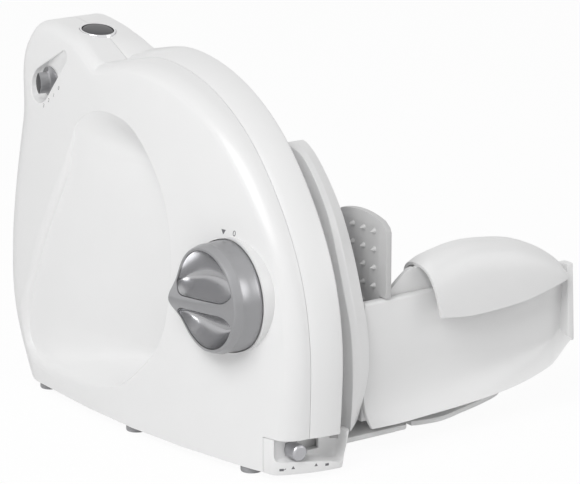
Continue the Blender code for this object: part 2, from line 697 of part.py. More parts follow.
def build_right_shell(body, white):
    shell = add_piece("housing_right_shell", close_bottom(right_form(0.0, PART_X + GAP, RIM_X), BOTTOM_Z),
                      body, white, 30)
    wall_x = RIM_X - 0.002
    hollow = close_bottom(right_form(WALL, PART_X - OVERCUT, wall_x), BOTTOM_Z - OVERCUT)
    inner = cut(shell, hollow, "inside", body)
    cut(inner, window_form(WALL, -0.005, 0.040), "window_wall", body)
    cut(inner, block_space(GAP + WALL), "block_wall", body)
    bosses = [disc("X", place, BOSS_RADIUS + 0.001, PART_X, wall_x + 0.001, 16) for place in SHELL_SCREWS.values()]
    bosses += [disc("Z", place, BOSS_RADIUS, BASE_TOP_Z + GAP, BOSS_TOP_Z, 16) for place in base_posts(False)]
    bosses += [disc("X", place, ROD_RADIUS + RUN + 0.003, 0.017, wall_x + 0.001, 20) for place in ROD_PLACES.values()]
    bosses.append(disc("X", (KNOB_Y, KNOB_Z), SLEEVE_RADIUS + RUN + 0.0026, 0.017, wall_x + 0.001, 32))
    axis_z = BLADE_Z + WHEEL_PITCH_RADIUS + WORM_PITCH_RADIUS
    seat = MOTOR_RADIUS + GAP
    for y in (0.158, 0.196):
        rib = [(0.006, axis_z - 0.024), (wall_x + 0.001, axis_z - 0.026), (wall_x + 0.001, axis_z + 0.026),
               (0.006, axis_z + 0.024)]
        hollow_rib = circle(seat, 25, (DRIVE_X, axis_z))
        arc = [p for p in hollow_rib if p[0] > 0.006]
        arc.sort(key=lambda p: -p[1])
        bosses.append(prism("Y", rib + arc, y, y + 0.003))
    shelf_z = SAFETY_SWITCH_Z[0] - GAP
    bosses.append(box((0.0065, 0.2010, shelf_z - 0.0022), (wall_x + 0.001, 0.2170, shelf_z)))
    for z in BOARD_POST_Z:
        bosses.append(disc("X", (BOARD_POST_Y, z), 0.0025, BOARD_X[1] + GAP, wall_x + 0.001, 14))
    cut(inner, merge(*bosses), "bosses", body)
    axis = (BLADE_Y, BLADE_Z)
    unite(shell, disc("X", axis, DRUM_RADIUS, RIM_X - 0.001, DRUM_X, 44), "drum", body)
    bore = BUSH_RADIUS + GAP
    unite(shell, disc("X", axis, bore + WALL + 0.001, 0.012, RIM_X - 0.0015, 24), "bush_seat", body)
    cut(shell, ring("X", axis, bore + WALL, DRUM_RADIUS - WALL, RIM_X - 0.004, DRUM_X - WALL, 32), "drum_room", body)
    cut(shell, disc("X", axis, bore, 0.005, DRUM_X + 0.002, 28), "bore", body)
    cut(shell, window_form(0.0, -0.005, 0.045), "window", body)
    cut(shell, block_space(GAP), "block", body)
    arm_room = box((0.0215, ARM_Y[0] - GAP, -0.010), (0.040, ARM_Y[1] + GAP, BASE_TOP_Z + GAP))
    cut(shell, merge(arm_room, link_space(GAP)), "base_room", body)
    holes = [button_hole(), disc("X", (KNOB_Y, KNOB_Z), SLEEVE_RADIUS + RUN, 0.010, 0.032, 32)]
    for place in ROD_PLACES.values():
        holes.append(disc("X", place, ROD_RADIUS + RUN, 0.010, 0.032, 20))
    for place in SHELL_SCREWS.values():
        bore_profile = [(0.0, 0.002), (SCREW_RADIUS + GAP, 0.002), (SCREW_RADIUS + GAP, RIM_X - 0.0035),
                        (SCREW_HEAD + GAP, RIM_X - 0.0035), (SCREW_HEAD + GAP, 0.034), (0.0, 0.034)]
        holes.append(lathe("X", place, bore_profile, 16))
    for place in base_posts(False):
        holes.append(disc("Z", place, SCREW_RADIUS + GAP, BASE_TOP_Z - 0.001, BOSS_TOP_Z - 0.001, 12))
    holes.append(disc("Y", (BUSH_X, BUSH_Z), CABLE_BUSH_RADIUS + GAP, 0.240, 0.280, 20))
    cut(shell, merge(*holes), "holes", body)


def block_form():
    """The front block, its right end leaning outward to the top."""
    rings = []
    for z, lean in zip((BOTTOM_Z - 0.0002, BLOCK_TOP_Z), BLOCK_LEAN):
        rings.append([Vector((x + (lean if x > 0.028 else 0.0), y, z)) for x, y in BLOCK_PLAN])
    return loft(rings)


def build_base(body, white):
    left = []
    for k in range(11):
        y = 0.0004 + 0.2040 * k / 10
        left.append((face_x(y, BOTTOM_Z) + WALL + PLATE_GAP, y))
    corner = circle(0.0200, 24, (-0.0165, 0.2155))
    arc = [corner[k] for k in range(12, 5, -1)]
    outline = left + arc + [
        (BRACKET_X[1], 0.2378), (BRACKET_X[1], ARM_Y[1]), (ARM_X, ARM_Y[1]), (ARM_X, ARM_Y[0]),
        (BRACKET_X[1], ARM_Y[0]), (BRACKET_X[1], 0.0004), (0.0200, 0.0004), (0.0200, -0.0040), (-0.0100, -0.0040),
        (-0.0100, 0.0004),
    ]
    base = add_piece("base_frame", prism("Z", outline, BOTTOM_Z, BASE_TOP_Z), body, white)
    unite(base, block_form(), "block", body)
    scoop = [(SCOOP_EDGE[0][0], BLOCK_TOP_Z + 0.004)] + SCOOP_EDGE + [(SCOOP_EDGE[-1][0], BLOCK_TOP_Z + 0.004)]
    cut(base, prism("Y", scoop, -0.040, LOCK_FLOOR_Y), "scoop", body)
    room = box((PLATE_X - PLATE_TRAVEL - 0.0006, -0.0132, PLATE_BOTTOM_Z - 0.0006), (0.050, 0.004, 0.040))
    cut(base, room, "plate_room", body)
    reach = LOCK_TRAVEL + LOCK_HALF + GAP
    channel = box((LOCK_X - LOCK_HALF - GAP, LOCK_BACK_Y - GAP, LOCK_Z - 0.0045), (reach, 0.010, LOCK_Z + 0.0045))
    cut(base, channel, "channel", body)
    side = PIN_NECK_RADIUS + GAP
    slot = box((LOCK_X - side, LOCK_FLOOR_Y - 0.002, LOCK_Z - side), (LOCK_TRAVEL + side, -0.0065, LOCK_Z + side))
    cut(base, slot, "slot", body)
    holes = []
    for place in BASE_SCREWS.values():
        bore = [(0.0, -0.002), (SCREW_HEAD + GAP, -0.002), (SCREW_HEAD + GAP, 0.0062), (SCREW_RADIUS + GAP, 0.0062),
                (SCREW_RADIUS + GAP, 0.010), (0.0, 0.010)]
        holes.append(lathe("Z", place, bore, 16))
    cut(base, merge(*holes), "screw_holes", body)


def build_deck(body, white):
    left, right = DECK_X
    front, rear = DECK_Y
    edge = [(left + 0.006 + x, front + 0.006 + y) for x, y in circle(0.006, 16)[8:13]]
    edge += [(right - 0.002, front), (right, front + 0.002), (right, 0.0140), (0.0965, 0.0140)]
    edge += [tuple(p) for p in spline(WING_EDGE, 2)] + [WING_EDGE[-1], (right, 0.1335)]
    edge += [(right - 0.006 + x, rear - 0.006 + y) for x, y in circle(0.006, 16)[0:5]]
    edge += [(left + 0.006 + x, rear - 0.006 + y) for x, y in circle(0.006, 16)[4:9]]
    deck = add_piece("carriage_deck", prism("Z", edge, BASE_TOP_Z + GAP, DECK_TOP_Z), body, white)
    rail = box((RAIL_X - RAIL_HALF, front + 0.004, DECK_TOP_Z - 0.001), (RAIL_X + RAIL_HALF, rear - 0.004, RAIL_TOP_Z))
    unite(deck, rail, "rail", body)


def build_feet(body, rubber):
    for name, place in FEET.items():
        top = BOTTOM_Z - GAP
        profile = [(0.0, 0.0), (FOOT_RADIUS - 0.0006, 0.0), (FOOT_RADIUS, 0.0006), (FOOT_RADIUS, top), (0.0, top)]
        add_piece(f"foot_{name}", lathe("Z", place, profile, 18), body, rubber)
    tall = profile[:3] + [(FOOT_RADIUS, BASE_TOP_Z), (0.0, BASE_TOP_Z)]
    add_piece("foot_wing", lathe("Z", WING_FOOT, tall, 18), body, rubber)


def build_screws(body, steel):
    for name, place in BASE_SCREWS.items():
        profile = [(0.0, 0.0045), (SCREW_HEAD, 0.0045), (SCREW_HEAD, 0.0059), (SCREW_RADIUS, 0.0059),
                   (SCREW_RADIUS, BOSS_TOP_Z - 0.0025), (0.0, BOSS_TOP_Z - 0.0015)]
        add_piece(f"base_screw_{name}", lathe("Z", place, profile, 12), body, steel)
    for name, place in SHELL_SCREWS.items():
        head = RIM_X - 0.0032
        profile = [(0.0, PART_X - 0.0085), (SCREW_RADIUS, PART_X - 0.0075), (SCREW_RADIUS, head), (SCREW_HEAD, head),
                   (SCREW_HEAD, head + 0.0018), (0.0, head + 0.0018)]
        add_piece(f"shell_screw_{name}", lathe("X", place, profile, 12), body, steel)


def build_lock(body, steel, dark):
    """The carriage lock: a round pin that slides sideways in its scooped recess, on a bar behind it."""
    place = (LOCK_X, LOCK_Z)
    neck = LOCK_FLOOR_Y - 0.0005
    profile = [(0.0, PIN_TIP_Y), (PIN_RADIUS - 0.0010, PIN_TIP_Y), (PIN_RADIUS, PIN_TIP_Y + 0.0010), (PIN_RADIUS, neck),
               (PIN_NECK_RADIUS, neck), (PIN_NECK_RADIUS, LOCK_BACK_Y - GAP), (0.0, LOCK_BACK_Y - GAP)]
    add_piece("lock_pin", lathe("Y", place, profile, 28), body, steel)
    low = (LOCK_X - LOCK_HALF, LOCK_BACK_Y, LOCK_Z - 0.0040)
    add_piece("lock_bar", box(low, (LOCK_X + LOCK_HALF, -0.0033, LOCK_Z + 0.0040)), body, dark)


def guard_profile():
    """Radius and x of the blade guard's section: a flat web with a rim round the blade."""
    inner = BLADE_RADIUS + GUARD_CLEAR
    outer = inner + GUARD_WALL
    back = RIM_X + GAP
    return [(DRUM_RADIUS + 0.001, back), (outer, back), (outer, BLADE_FACE_X + 0.0013), (inner, BLADE_FACE_X + 0.0013),
            (inner, back + WALL), (DRUM_RADIUS + 0.001, back + WALL)]


def build_guard(body, white):
    rings = []
    for k in range(31):
        turn = math.radians(GUARD_FROM + (GUARD_TO - GUARD_FROM) * k / 30)
        rings.append([Vector((x, BLADE_Y - r * math.cos(turn), BLADE_Z + r * math.sin(turn))) for r, x in guard_profile()])
    add_piece("blade_guard", loft(rings), body, white)


def build_stop_plate(body, white, steel):
    left = spline(PLATE_LEFT_EDGE, 2) + [Vector(PLATE_LEFT_EDGE[-1])]
    right = spline(PLATE_RIGHT_EDGE, 2) + [Vector(PLATE_RIGHT_EDGE[-1])]
    radius = BLADE_RADIUS + PLATE_CLEAR
    low = math.asin(PLATE_ARC_SHARE)
    high = math.acos((BLADE_Y - PLATE_LEFT_EDGE[0][0]) / radius)
    arc = []
    for k in range(17):
        turn = -low + (low + high) * k / 16
        arc.append(Vector((BLADE_Y - radius * math.cos(turn), BLADE_Z + radius * math.sin(turn))))
    rings = []
    for share in (0.0, PLATE_RIDGE / 2, PLATE_RIDGE, 0.55, 0.78, 1.0):
        edge = [a.lerp(b, share) for a, b in zip(left, right)]
        bulged = []
        for k, point in enumerate(edge):
            tangent = edge[min(k + 1, len(edge) - 1)] - edge[max(k - 1, 0)]
            outward = Vector((tangent.y, -tangent.x)).normalized()
            if outward.x > 0:
                outward = -outward
            tent = share / PLATE_RIDGE if share < PLATE_RIDGE else (1 - share) / (1 - PLATE_RIDGE)
            lift = PLATE_BULGE * tent * math.sin(math.pi * min(k / 5, 1.0) / 2)
            bulged.append(point + outward * lift * (1 if k < len(edge) - 1 else 0))
        x = PLATE_X + (BLADE_FACE_X - PLATE_X) * share
        rings.append([Vector((x, *point)) for point in bulged + arc])
    add_piece("stop_plate", loft(rings), body, white, 35)
    tube = [(SLEEVE_RADIUS - 0.0034, 0.0127), (SLEEVE_RADIUS, 0.0127), (SLEEVE_RADIUS, PLATE_X - GAP),
            (SLEEVE_RADIUS - 0.0034, PLATE_X - GAP)]
    sleeve = add_piece("stop_carrier_tube", lathe("X", (KNOB_Y, KNOB_Z), tube, 32), body, steel)
    finger = box((CAM_TOP_X + FINGER_GAP, KNOB_Y - FINGER_HALF, KNOB_Z + SLEEVE_RADIUS - 0.0018),
                 (0.0155, KNOB_Y + FINGER_HALF, KNOB_Z + CAM_OUT - 0.0005))
    unite(sleeve, finger, "finger", body)
    for name, place in ROD_PLACES.items():
        rod = disc("X", place, ROD_RADIUS, ROD_LEFT_X, PLATE_X - GAP, 20)
        add_piece(f"guide_rod_{name}", rod, body, steel)


def dish_x(radius, lift=0.0):
    """The dished front of the knob: x at a distance from its axis."""
    return KNOB_FRONT_X + DISH_DEPTH * (1 - (radius / DISH_RADIUS) ** 2) - lift


def bar_point(y, z):
    """A point of the tilted cross bar, from its place along and across the bar."""
    turn = math.radians(BAR_TILT)
    return KNOB_Y + y * math.cos(turn) + z * math.sin(turn), BAR_Z - y * math.sin(turn) + z * math.cos(turn)


def grip_bar():
    """The knob's cross bar, with its long edges rounded."""
    foot = -0.0225
    edge = [(foot, -0.0285), (-0.0337, -0.0285), (-0.0362, -0.0190), (-0.0384, -0.0070), (-0.0396, 0.0060),
            (-0.0405, 0.0170), (-0.0409, 0.0235), (-0.0395, 0.0285), (foot, 0.0285)]
    rings = []
    for z, back in ((-BAR_HALF, 0.0012), (0.0012 - BAR_HALF, 0.0), (BAR_HALF - 0.0012, 0.0), (BAR_HALF, 0.0012)):
        rings.append([Vector((x + (0.0 if x == foot else back), *bar_point(y, z))) for x, y in edge])
    return loft(rings)


def build_knob(body, silver, polished, steel, dark):
    axis = (KNOB_Y, KNOB_Z)
    back = POCKET_X - GAP
    profile = [(0.0, back), (KNOB_RADIUS, back), (KNOB_RADIUS, back - 0.003), (KNOB_RADIUS - 0.0005, back - 0.009),
               (KNOB_FRONT_RADIUS + 0.0012, KNOB_FRONT_X + 0.003), (KNOB_FRONT_RADIUS, KNOB_FRONT_X + 0.0006),
               (KNOB_FRONT_RADIUS - 0.0008, KNOB_FRONT_X), (DISH_RADIUS, KNOB_FRONT_X)]
    for k in range(4, -1, -1):
        profile.append((DISH_RADIUS * k / 5, dish_x(DISH_RADIUS * k / 5)))
    knob = add_piece("knob_body", lathe("X", axis, profile, 36), body, silver, 30)
    unite(knob, grip_bar(), "bar", body)
    room = ring("X", axis, KNOB_SHAFT_RADIUS + 0.005, KNOB_RADIUS - 0.0035, back - HUB_DEPTH, back + 0.004, 28)
    cut(knob, room, "back", body)
    cut(knob, disc("X", axis, KNOB_SHAFT_RADIUS + GAP, back - HUB_DEPTH, back + 0.004, 24), "bore", body)
    for name, side in (("upper", 1), ("lower", -1)):
        radii = [DISH_RADIUS * share for share in (0.0, 0.2, 0.4, 0.6, 0.8, 0.95)]
        liner = [(radius, dish_x(radius, INSERT_GAP)) for radius in radii]
        liner += [(radius, dish_x(radius, INSERT_GAP + INSERT_THICK)) for radius in reversed(radii)]
        insert = add_piece(f"knob_insert_{name}", lathe("X", axis, liner, 32), body, polished, 30)
        edge = side * (BAR_HALF + GAP)
        reach = 3 * KNOB_RADIUS
        block = [bar_point(-reach, edge), bar_point(reach, edge), bar_point(reach, edge - side * reach),
                 bar_point(-reach, edge - side * reach)]
        cut(insert, prism("X", block, -0.060, 0.010), "bar_side", body)
    shaft = disc("X", axis, KNOB_SHAFT_RADIUS, back - HUB_DEPTH + GAP, RIM_X + 0.0005, 24)
    add_piece("knob_shaft", shaft, body, steel)
    base = POCKET_X + WALL + 0.0020
    collar = ring("X", axis, KNOB_SHAFT_RADIUS + GAP, CAM_IN + 0.0006, base, base + 0.0013, 24)
    cam = add_piece("thickness_cam", collar, body, dark)
    ramp = []
    steps = 20
    for k in range(steps + 1):
        turn = -12 + 318 * k / steps
        top = CAM_TOP_X - PLATE_TRAVEL * turn / KNOB_TURN
        angle = math.radians(90 - turn)
        section = [(CAM_IN, base), (CAM_OUT, base), (CAM_OUT, top), (CAM_IN, top)]
        ramp.append([Vector((x, KNOB_Y + r * math.cos(angle), KNOB_Z + r * math.sin(angle))) for r, x in section])
    unite(cam, loft(ramp), "ramp", body)


def build_blade(body, blade_steel, steel, dark, brass):
    axis = (BLADE_Y, BLADE_Z)
    count = BLADE_SCALLOPS * 3
    back = BLADE_FACE_X - BLADE_THICK
    rows = [(HUB_HOLE, back, 0), (BLADE_RADIUS - BLADE_BEVEL, back, 0), (BLADE_RADIUS, BLADE_FACE_X - 0.00015, 1),
            (BLADE_RADIUS, BLADE_FACE_X, 1), (HUB_HOLE, BLADE_FACE_X, 0)]
    rings = []
    for radius, x, edge in rows:
        level = []
        for k in range(count):
            angle = 2 * math.pi * k / count
            reach = radius - edge * SCALLOP_DEPTH * (0.0, 0.8, 0.8)[k % 3]
            level.append(Vector((x, BLADE_Y + reach * math.cos(angle), BLADE_Z + reach * math.sin(angle))))
        rings.append(level)
    add_piece("blade", loft(rings, closed=True), body, blade_steel)
    boss = HUB_HOLE - GAP
    front = DRUM_X + 0.0004
    carrier = [(0.0, front), (CARRIER_RADIUS, front), (CARRIER_RADIUS, back - GAP), (boss, back - GAP),
               (boss, BLADE_FACE_X), (0.0, BLADE_FACE_X)]
    add_piece("blade_carrier", lathe("X", axis, carrier, 36), body, dark)
    cap_x = BLADE_FACE_X + GAP
    cap = [(0.0, cap_x), (CAP_RADIUS, cap_x), (CAP_RADIUS, cap_x + 0.0008), (CAP_RADIUS - 0.0006, cap_x + CAP_THICK),
           (0.0, cap_x + CAP_THICK)]
    add_piece("blade_lock_cap", lathe("X", axis, cap, 36), body, steel)
    add_piece("blade_shaft", disc("X", axis, SHAFT_RADIUS, SHAFT_LEFT_X, front - GAP, 24), body, steel)
    slant = WORM_PITCH * WORM_STARTS / (2 * math.pi * WORM_PITCH_RADIUS)
    rings = []
    half = WHEEL_WIDTH / 2
    shape = []
    tip = WHEEL_PITCH_RADIUS + TOOTH_ADDENDUM
    root = WHEEL_PITCH_RADIUS - TOOTH_DEDENDUM
    for tooth in range(WHEEL_TEETH):
        for share, radius in ((-0.26, root), (-0.11, tip), (0.11, tip), (0.26, root)):
            shape.append((2 * math.pi * (tooth + 0.5 + share) / WHEEL_TEETH + math.pi / 2, radius))
    for offset in (-half, half):
        twist = -offset * slant / WHEEL_PITCH_RADIUS
        rings.append([Vector((DRIVE_X + offset, BLADE_Y + r * math.cos(a + twist), BLADE_Z + r * math.sin(a + twist)))
                      for a, r in shape])
    bore = []
    for angle, _ in shape:
        bore.append((BLADE_Y + (SHAFT_RADIUS + GAP) * math.cos(angle), BLADE_Z + (SHAFT_RADIUS + GAP) * math.sin(angle)))
    rings.append([Vector((DRIVE_X + half, *p)) for p in bore])
    rings.append([Vector((DRIVE_X - half, *p)) for p in bore])
    add_piece("worm_wheel", loft(rings, closed=True), body, brass)


def build_rotor(body, steel, copper, dark):
    """Everything that turns with the motor's shaft."""
    axis = (DRIVE_X, MOTOR_Z)
    shaft = disc("Y", axis, MOTOR_SHAFT_RADIUS, SHAFT_FRONT_Y, MOTOR_Y[1] - 0.0015, 20)
    add_piece("motor_shaft", shaft, body, steel)
    bore = MOTOR_SHAFT_RADIUS + GAP
    lead = WORM_PITCH * WORM_STARTS
    tip = WORM_PITCH_RADIUS + TOOTH_ADDENDUM
    root = WORM_PITCH_RADIUS - TOOTH_DEDENDUM
    shape = []
    for start in range(WORM_STARTS):
        for share, radius in ((-0.5, root), (-0.25, root), (-0.11, tip), (0.0, tip), (0.11, tip), (0.25, root)):
            shape.append((2 * math.pi * (start + share) / WORM_STARTS - math.pi / 2, radius))
    sections = 24
    mesh_rings = []
    for k in range(sections + 1):
        offset = WORM_HALF * (2 * k / sections - 1)
        twist = 2 * math.pi * offset / lead
        level = []
        for a, r in shape:
            level.append(Vector((DRIVE_X + r * math.cos(a + twist), BLADE_Y + offset, MOTOR_Z + r * math.sin(a + twist))))
        mesh_rings.append(level)
    worm = add_piece("worm", loft(mesh_rings), body, steel)
    reach = WORM_HALF + OVERCUT
    cut(worm, disc("Y", axis, bore, BLADE_Y - reach, BLADE_Y + reach, 20), "bore", body)
    add_piece("motor_rotor", ring("Y", axis, bore, ROTOR_RADIUS, *ROTOR_Y, 32), body, copper)
    add_piece("motor_commutator", ring("Y", axis, bore, COMMUTATOR_RADIUS, *COMMUTATOR_Y, 24), body, copper)
    vanes = []
    for k in range(48):
        vanes.append((2 * math.pi * k / 48, 0.0150 if k % 6 in (0, 1) else 0.0060))
    rings = []
    for y in FAN_Y:
        rings.append([Vector((DRIVE_X + r * math.cos(a), y, MOTOR_Z + r * math.sin(a))) for a, r in vanes])
    for y in reversed(FAN_Y):
        rings.append([Vector((DRIVE_X + bore * math.cos(a), y, MOTOR_Z + bore * math.sin(a))) for a, _ in vanes])
    add_piece("cooling_fan", loft(rings, closed=True), body, dark)


def build_motor(body, steel, copper, dark, brass):
    """The still parts of the motor and the bracket that holds the worm."""
    axis = (DRIVE_X, MOTOR_Z)
    front, rear = MOTOR_Y
    inner = MOTOR_RADIUS - MOTOR_WALL
    can = [(inner, front + 0.0028), (MOTOR_RADIUS, front + 0.0028), (MOTOR_RADIUS, rear), (0.0045, rear),
           (0.0045, rear - MOTOR_WALL), (inner, rear - MOTOR_WALL)]
    add_piece("motor_can", lathe("Y", axis, can, 30), body, steel)
    cap = ring("Y", axis, MOTOR_SHAFT_RADIUS + RUN, MOTOR_RADIUS, front, front + 0.0025, 36)
    add_piece("motor_end_cap", cap, body, dark)
    outer = inner - GAP
    stator = ring("Y", axis, outer - STATOR_WALL, outer, ROTOR_Y[0] - 0.001, ROTOR_Y[1] + 0.001, 36)
    add_piece("motor_stator", stator, body, steel)
    for name, side in (("left", -1), ("right", 1)):
        near = DRIVE_X + side * (COMMUTATOR_RADIUS + GAP)
        far = DRIVE_X + side * (inner - 0.0006)
        middle = (COMMUTATOR_Y[0] + COMMUTATOR_Y[1]) / 2
        low = (min(near, far), middle - 0.0018, MOTOR_Z - 0.0018)
        brush = box(low, (max(near, far), middle + 0.0018, MOTOR_Z + 0.0018))
        add_piece(f"motor_brush_{name}", brush, body, dark)
    low_x, high_x = BRACKET_X
    low_z, high_z = BRACKET_Z
    bridge = box((low_x, BRACKET_Y[0][0], low_z), (high_x, BRACKET_Y[1][1], high_z + 0.003))
    bracket = add_piece("gear_bracket", bridge, body, steel)
    room = box((low_x - 0.002, BRACKET_Y[0][1], low_z - 0.002), (high_x + 0.002, BRACKET_Y[1][0], high_z))
    cut(bracket, room, "room", body)
    seats = []
    for low, high in BRACKET_Y:
        seats.append(disc("Y", axis, WORM_BUSH_RADIUS + GAP, low - 0.002, high + 0.002, 24))
    cut(bracket, merge(*seats), "seats", body)
    for name, (low, high) in zip(("front", "rear"), BRACKET_Y):
        bush = ring("Y", axis, MOTOR_SHAFT_RADIUS + RUN, WORM_BUSH_RADIUS, low, high, 24)
        add_piece(f"worm_bush_{name}", bush, body, brass)
    bush = ring("X", (BLADE_Y, BLADE_Z), SHAFT_RADIUS + RUN, BUSH_RADIUS, 0.012, DRUM_X - GAP, 28)
    add_piece("shaft_bush", bush, body, brass)


def build_controls(body, dark, green):
    middle = SWITCH_FLOOR_X + WALL + GAP
    low = (middle, SWITCH_Y - 0.011, SWITCH_Z - 0.010)
    case = box(low, (middle + 0.0140, SWITCH_Y + 0.011, SWITCH_Z + 0.010))
    block = add_piece("speed_switch_block", case, body, dark)
    cut(block, disc("X", (SWITCH_Y, SWITCH_Z), STEM_RADIUS + RUN, middle - 0.004, middle + 0.007, 20), "stem", body)
    low = (BOARD_X[0], BOARD_POST_Y - 0.022, BOARD_POST_Z[0] - 0.008)
    high = (BOARD_X[1], BOARD_POST_Y + 0.018, BOARD_POST_Z[1] + 0.008)
    add_piece("control_board", box(low, high), body, green)
    low_z, high_z = SAFETY_SWITCH_Z
    low = (BUTTON_X - 0.006, BUTTON_Y - 0.008, low_z)
    add_piece("safety_switch", box(low, (BUTTON_X + 0.006, BUTTON_Y + 0.008, high_z)), body, dark)


def slope(z, y):
    """A height on the sloped top of the safety button."""
    return z + BUTTON_SLOPE * (y - BUTTON_Y)


def build_button_ring(body, chrome):
    inner = BUTTON_RADIUS + RUN
    outer = inner + BUTTON_RING
    rings = []
    for radius, z in ((inner, -0.006), (outer, -0.006), (outer, 0.0002), (outer - 0.0004, 0.0006), (inner, 0.0004)):
        level = []
        for x, y in circle(radius, 36, (BUTTON_X, BUTTON_Y)):
            level.append(Vector((x, y, slope(BUTTON_TOP_Z + z, y))))
        rings.append(level)
    add_piece("button_ring", loft(rings, closed=True), body, chrome)


def build_button(body, dark):
    rings = []
    for radius, lift in ((BUTTON_RADIUS, None), (BUTTON_RADIUS, -0.0004), (BUTTON_RADIUS - 0.0010, 0.0005),
                         (BUTTON_RADIUS - 0.0060, 0.0011)):
        level = []
        for x, y in circle(radius, 36, (BUTTON_X, BUTTON_Y)):
            z = BUTTON_FOOT_Z if lift is None else slope(BUTTON_TOP_Z + lift, y)
            level.append(Vector((x, y, z)))
        rings.append(level)
    button = add_piece("safety_button", loft(rings), body, dark)
    low = SAFETY_SWITCH_Z[1] + BUTTON_TRAVEL + 0.0006
    unite(button, disc("Z", (BUTTON_X, BUTTON_Y), 0.0015, low, BUTTON_FOOT_Z + 0.002, 16), "plunger", body)


def build_spring(body, steel):
    low = SAFETY_SWITCH_Z[1] + GAP + SPRING_WIRE
    high = BUTTON_FOOT_Z - GAP - SPRING_WIRE
    steps = 44
    rings = []
    for k in range(steps + 1):
        turn = 2 * math.pi * SPRING_TURNS * k / steps
        outward = Vector((math.cos(turn), math.sin(turn), 0.0))
        centre = Vector((BUTTON_X, BUTTON_Y, low + (high - low) * k / steps)) + outward * SPRING_RADIUS
        ring_points = []
        for m in range(5):
            angle = 2 * math.pi * m / 5
            aside = outward * math.cos(angle) + Vector((0, 0, math.sin(angle)))
            ring_points.append(centre + SPRING_WIRE * aside)
        rings.append(ring_points)
    add_piece("button_spring", loft(rings), body, steel)


def build_speed_switch(body, silver):
    steps = 28
    rings = []
    base = circle(SWITCH_RADIUS, steps)
    leaf = []
    for y, z in circle(1.0, steps):
        leaf.append((LEAF_WIDTH / 2 * math.copysign(abs(y) ** 1.5, y), LEAF_LENGTH / 2 * z))
    for share, x in ((0.0, SWITCH_FLOOR_X - GAP), (0.0, SWITCH_FLOOR_X - 0.0015), (0.35, SWITCH_FLOOR_X - 0.0032),
                     (0.75, SWITCH_FLOOR_X - 0.0062), (1.0, SWITCH_FLOOR_X - SWITCH_PROUD)):
        level = []
        for (y0, z0), (y1, z1) in zip(base, leaf):
            level.append(Vector((x, SWITCH_Y + y0 + (y1 - y0) * share, SWITCH_Z + z0 + (z1 - z0) * share)))
        rings.append(level)
    switch = add_piece("speed_switch", loft(rings), body, silver)
    stem = disc("X", (SWITCH_Y, SWITCH_Z), STEM_RADIUS, SWITCH_FLOOR_X - 0.001, SWITCH_FLOOR_X + WALL + 0.006, 20)
    unite(switch, stem, "stem", body)


def build_cable_bush(body, rubber):
    profile = [(0.003, 0.2520), (CABLE_BUSH_RADIUS, 0.2520), (CABLE_BUSH_RADIUS, 0.2632), (0.0072, 0.2632),
               (0.0072, 0.2660), (0.0050, 0.2680), (0.003, 0.2680)]
    add_piece("cable_bush", lathe("Y", (BUSH_X, BUSH_Z), profile, 28), body, rubber)


def carriage_section(x):
    """The carriage's closed outline (y, z) at a place along its length."""
    share = max(0.0, (x - 0.110) / (CARRIAGE_X[1] - 0.110))
    low = between(SKIRT_FOOT, x)
    front = 0.0024 * share
    crease = max(between(CREASE, x), low + 0.0080)
    flare = min(max(between(FLARE, x), low + 0.0055), crease - 0.0020)
    lip = -0.0085
    floor = low + 0.0045
    start = Vector((front + 0.0003, flare))
    control = Vector((front, low + 0.42 * (flare - low)))
    end = Vector((lip, low))
    outer = [Vector((front, crease))]
    for k in range(7):
        t = k / 6
        outer.append(start * (1 - t) ** 2 + control * 2 * t * (1 - t) + end * t * t)
    back = WALL_THICK
    top = Vector((front + SKIN, max(flare - 0.004, low + 0.0040)))
    bend = Vector((front + SKIN, low + 0.42 * (top.y - low)))
    foot = end + Vector((SKIN, 0.0))
    inner = []
    for k in range(6):
        t = 1 - k / 6
        point = top * (1 - t) ** 2 + bend * 2 * t * (1 - t) + foot * t * t
        inner.append(Vector((min(point.x, back - SKIN - 0.0012 + 0.0002 * k), point.y)))
    rear = FLOOR_REAR_Y
    under = floor - FLOOR_THICK
    points = [Vector((front + 0.0012, WALL_TOP_Z)), Vector((front, WALL_TOP_Z - 0.0014))] + outer + inner
    points += [Vector((back - SKIN, top.y - 0.0008)), Vector((back - SKIN, under)), Vector((rear, under)),
               Vector((rear, floor)), Vector((back, floor)), Vector((back, WALL_TOP_Z))]
    return points


def build_carriage(body, white):
    stations = [CARRIAGE_X[0], 0.070, 0.082, 0.096, 0.112, 0.130, 0.150, 0.167, 0.182, 0.194, 0.203, CARRIAGE_X[1]]
    rings = [[Vector((x, *point)) for point in carriage_section(x)] for x in stations]
    carriage = add_piece("carriage", loft(rings), body, white, 35)
    flange = [(-0.0060, 0.0440), (-0.0030, WALL_TOP_Z), (WALL_THICK, WALL_TOP_Z), (WALL_THICK, 0.0720), (0.0120, 0.0620),
              (0.0300, 0.0560), (FLOOR_REAR_Y, 0.0520), (FLOOR_REAR_Y, 0.0440)]
    unite(carriage, prism("X", flange, CARRIAGE_X[1] - 0.0006, FLANGE_X), "flange", body)
    shoes = []
    slots = []
    for front, rear in RUNNERS.values():
        shoes.append(box((RAIL_X - 0.0048, front, DECK_TOP_Z + RUN), (RAIL_X + 0.0048, rear, 0.0195)))
        low = (RAIL_X - RAIL_HALF - RUN, front - 0.002, DECK_TOP_Z - 0.001)
        slots.append(box(low, (RAIL_X + RAIL_HALF + RUN, rear + 0.002, RAIL_TOP_Z + RUN)))
    unite(carriage, merge(*shoes), "shoes", body)
    cut(carriage, merge(*slots), "slots", body)


def dome_stations():
    return [0.0, 0.07, 0.17, 0.29, 0.42, 0.55, 0.67, 0.78, 0.87, 0.94, 0.975, 1.0]


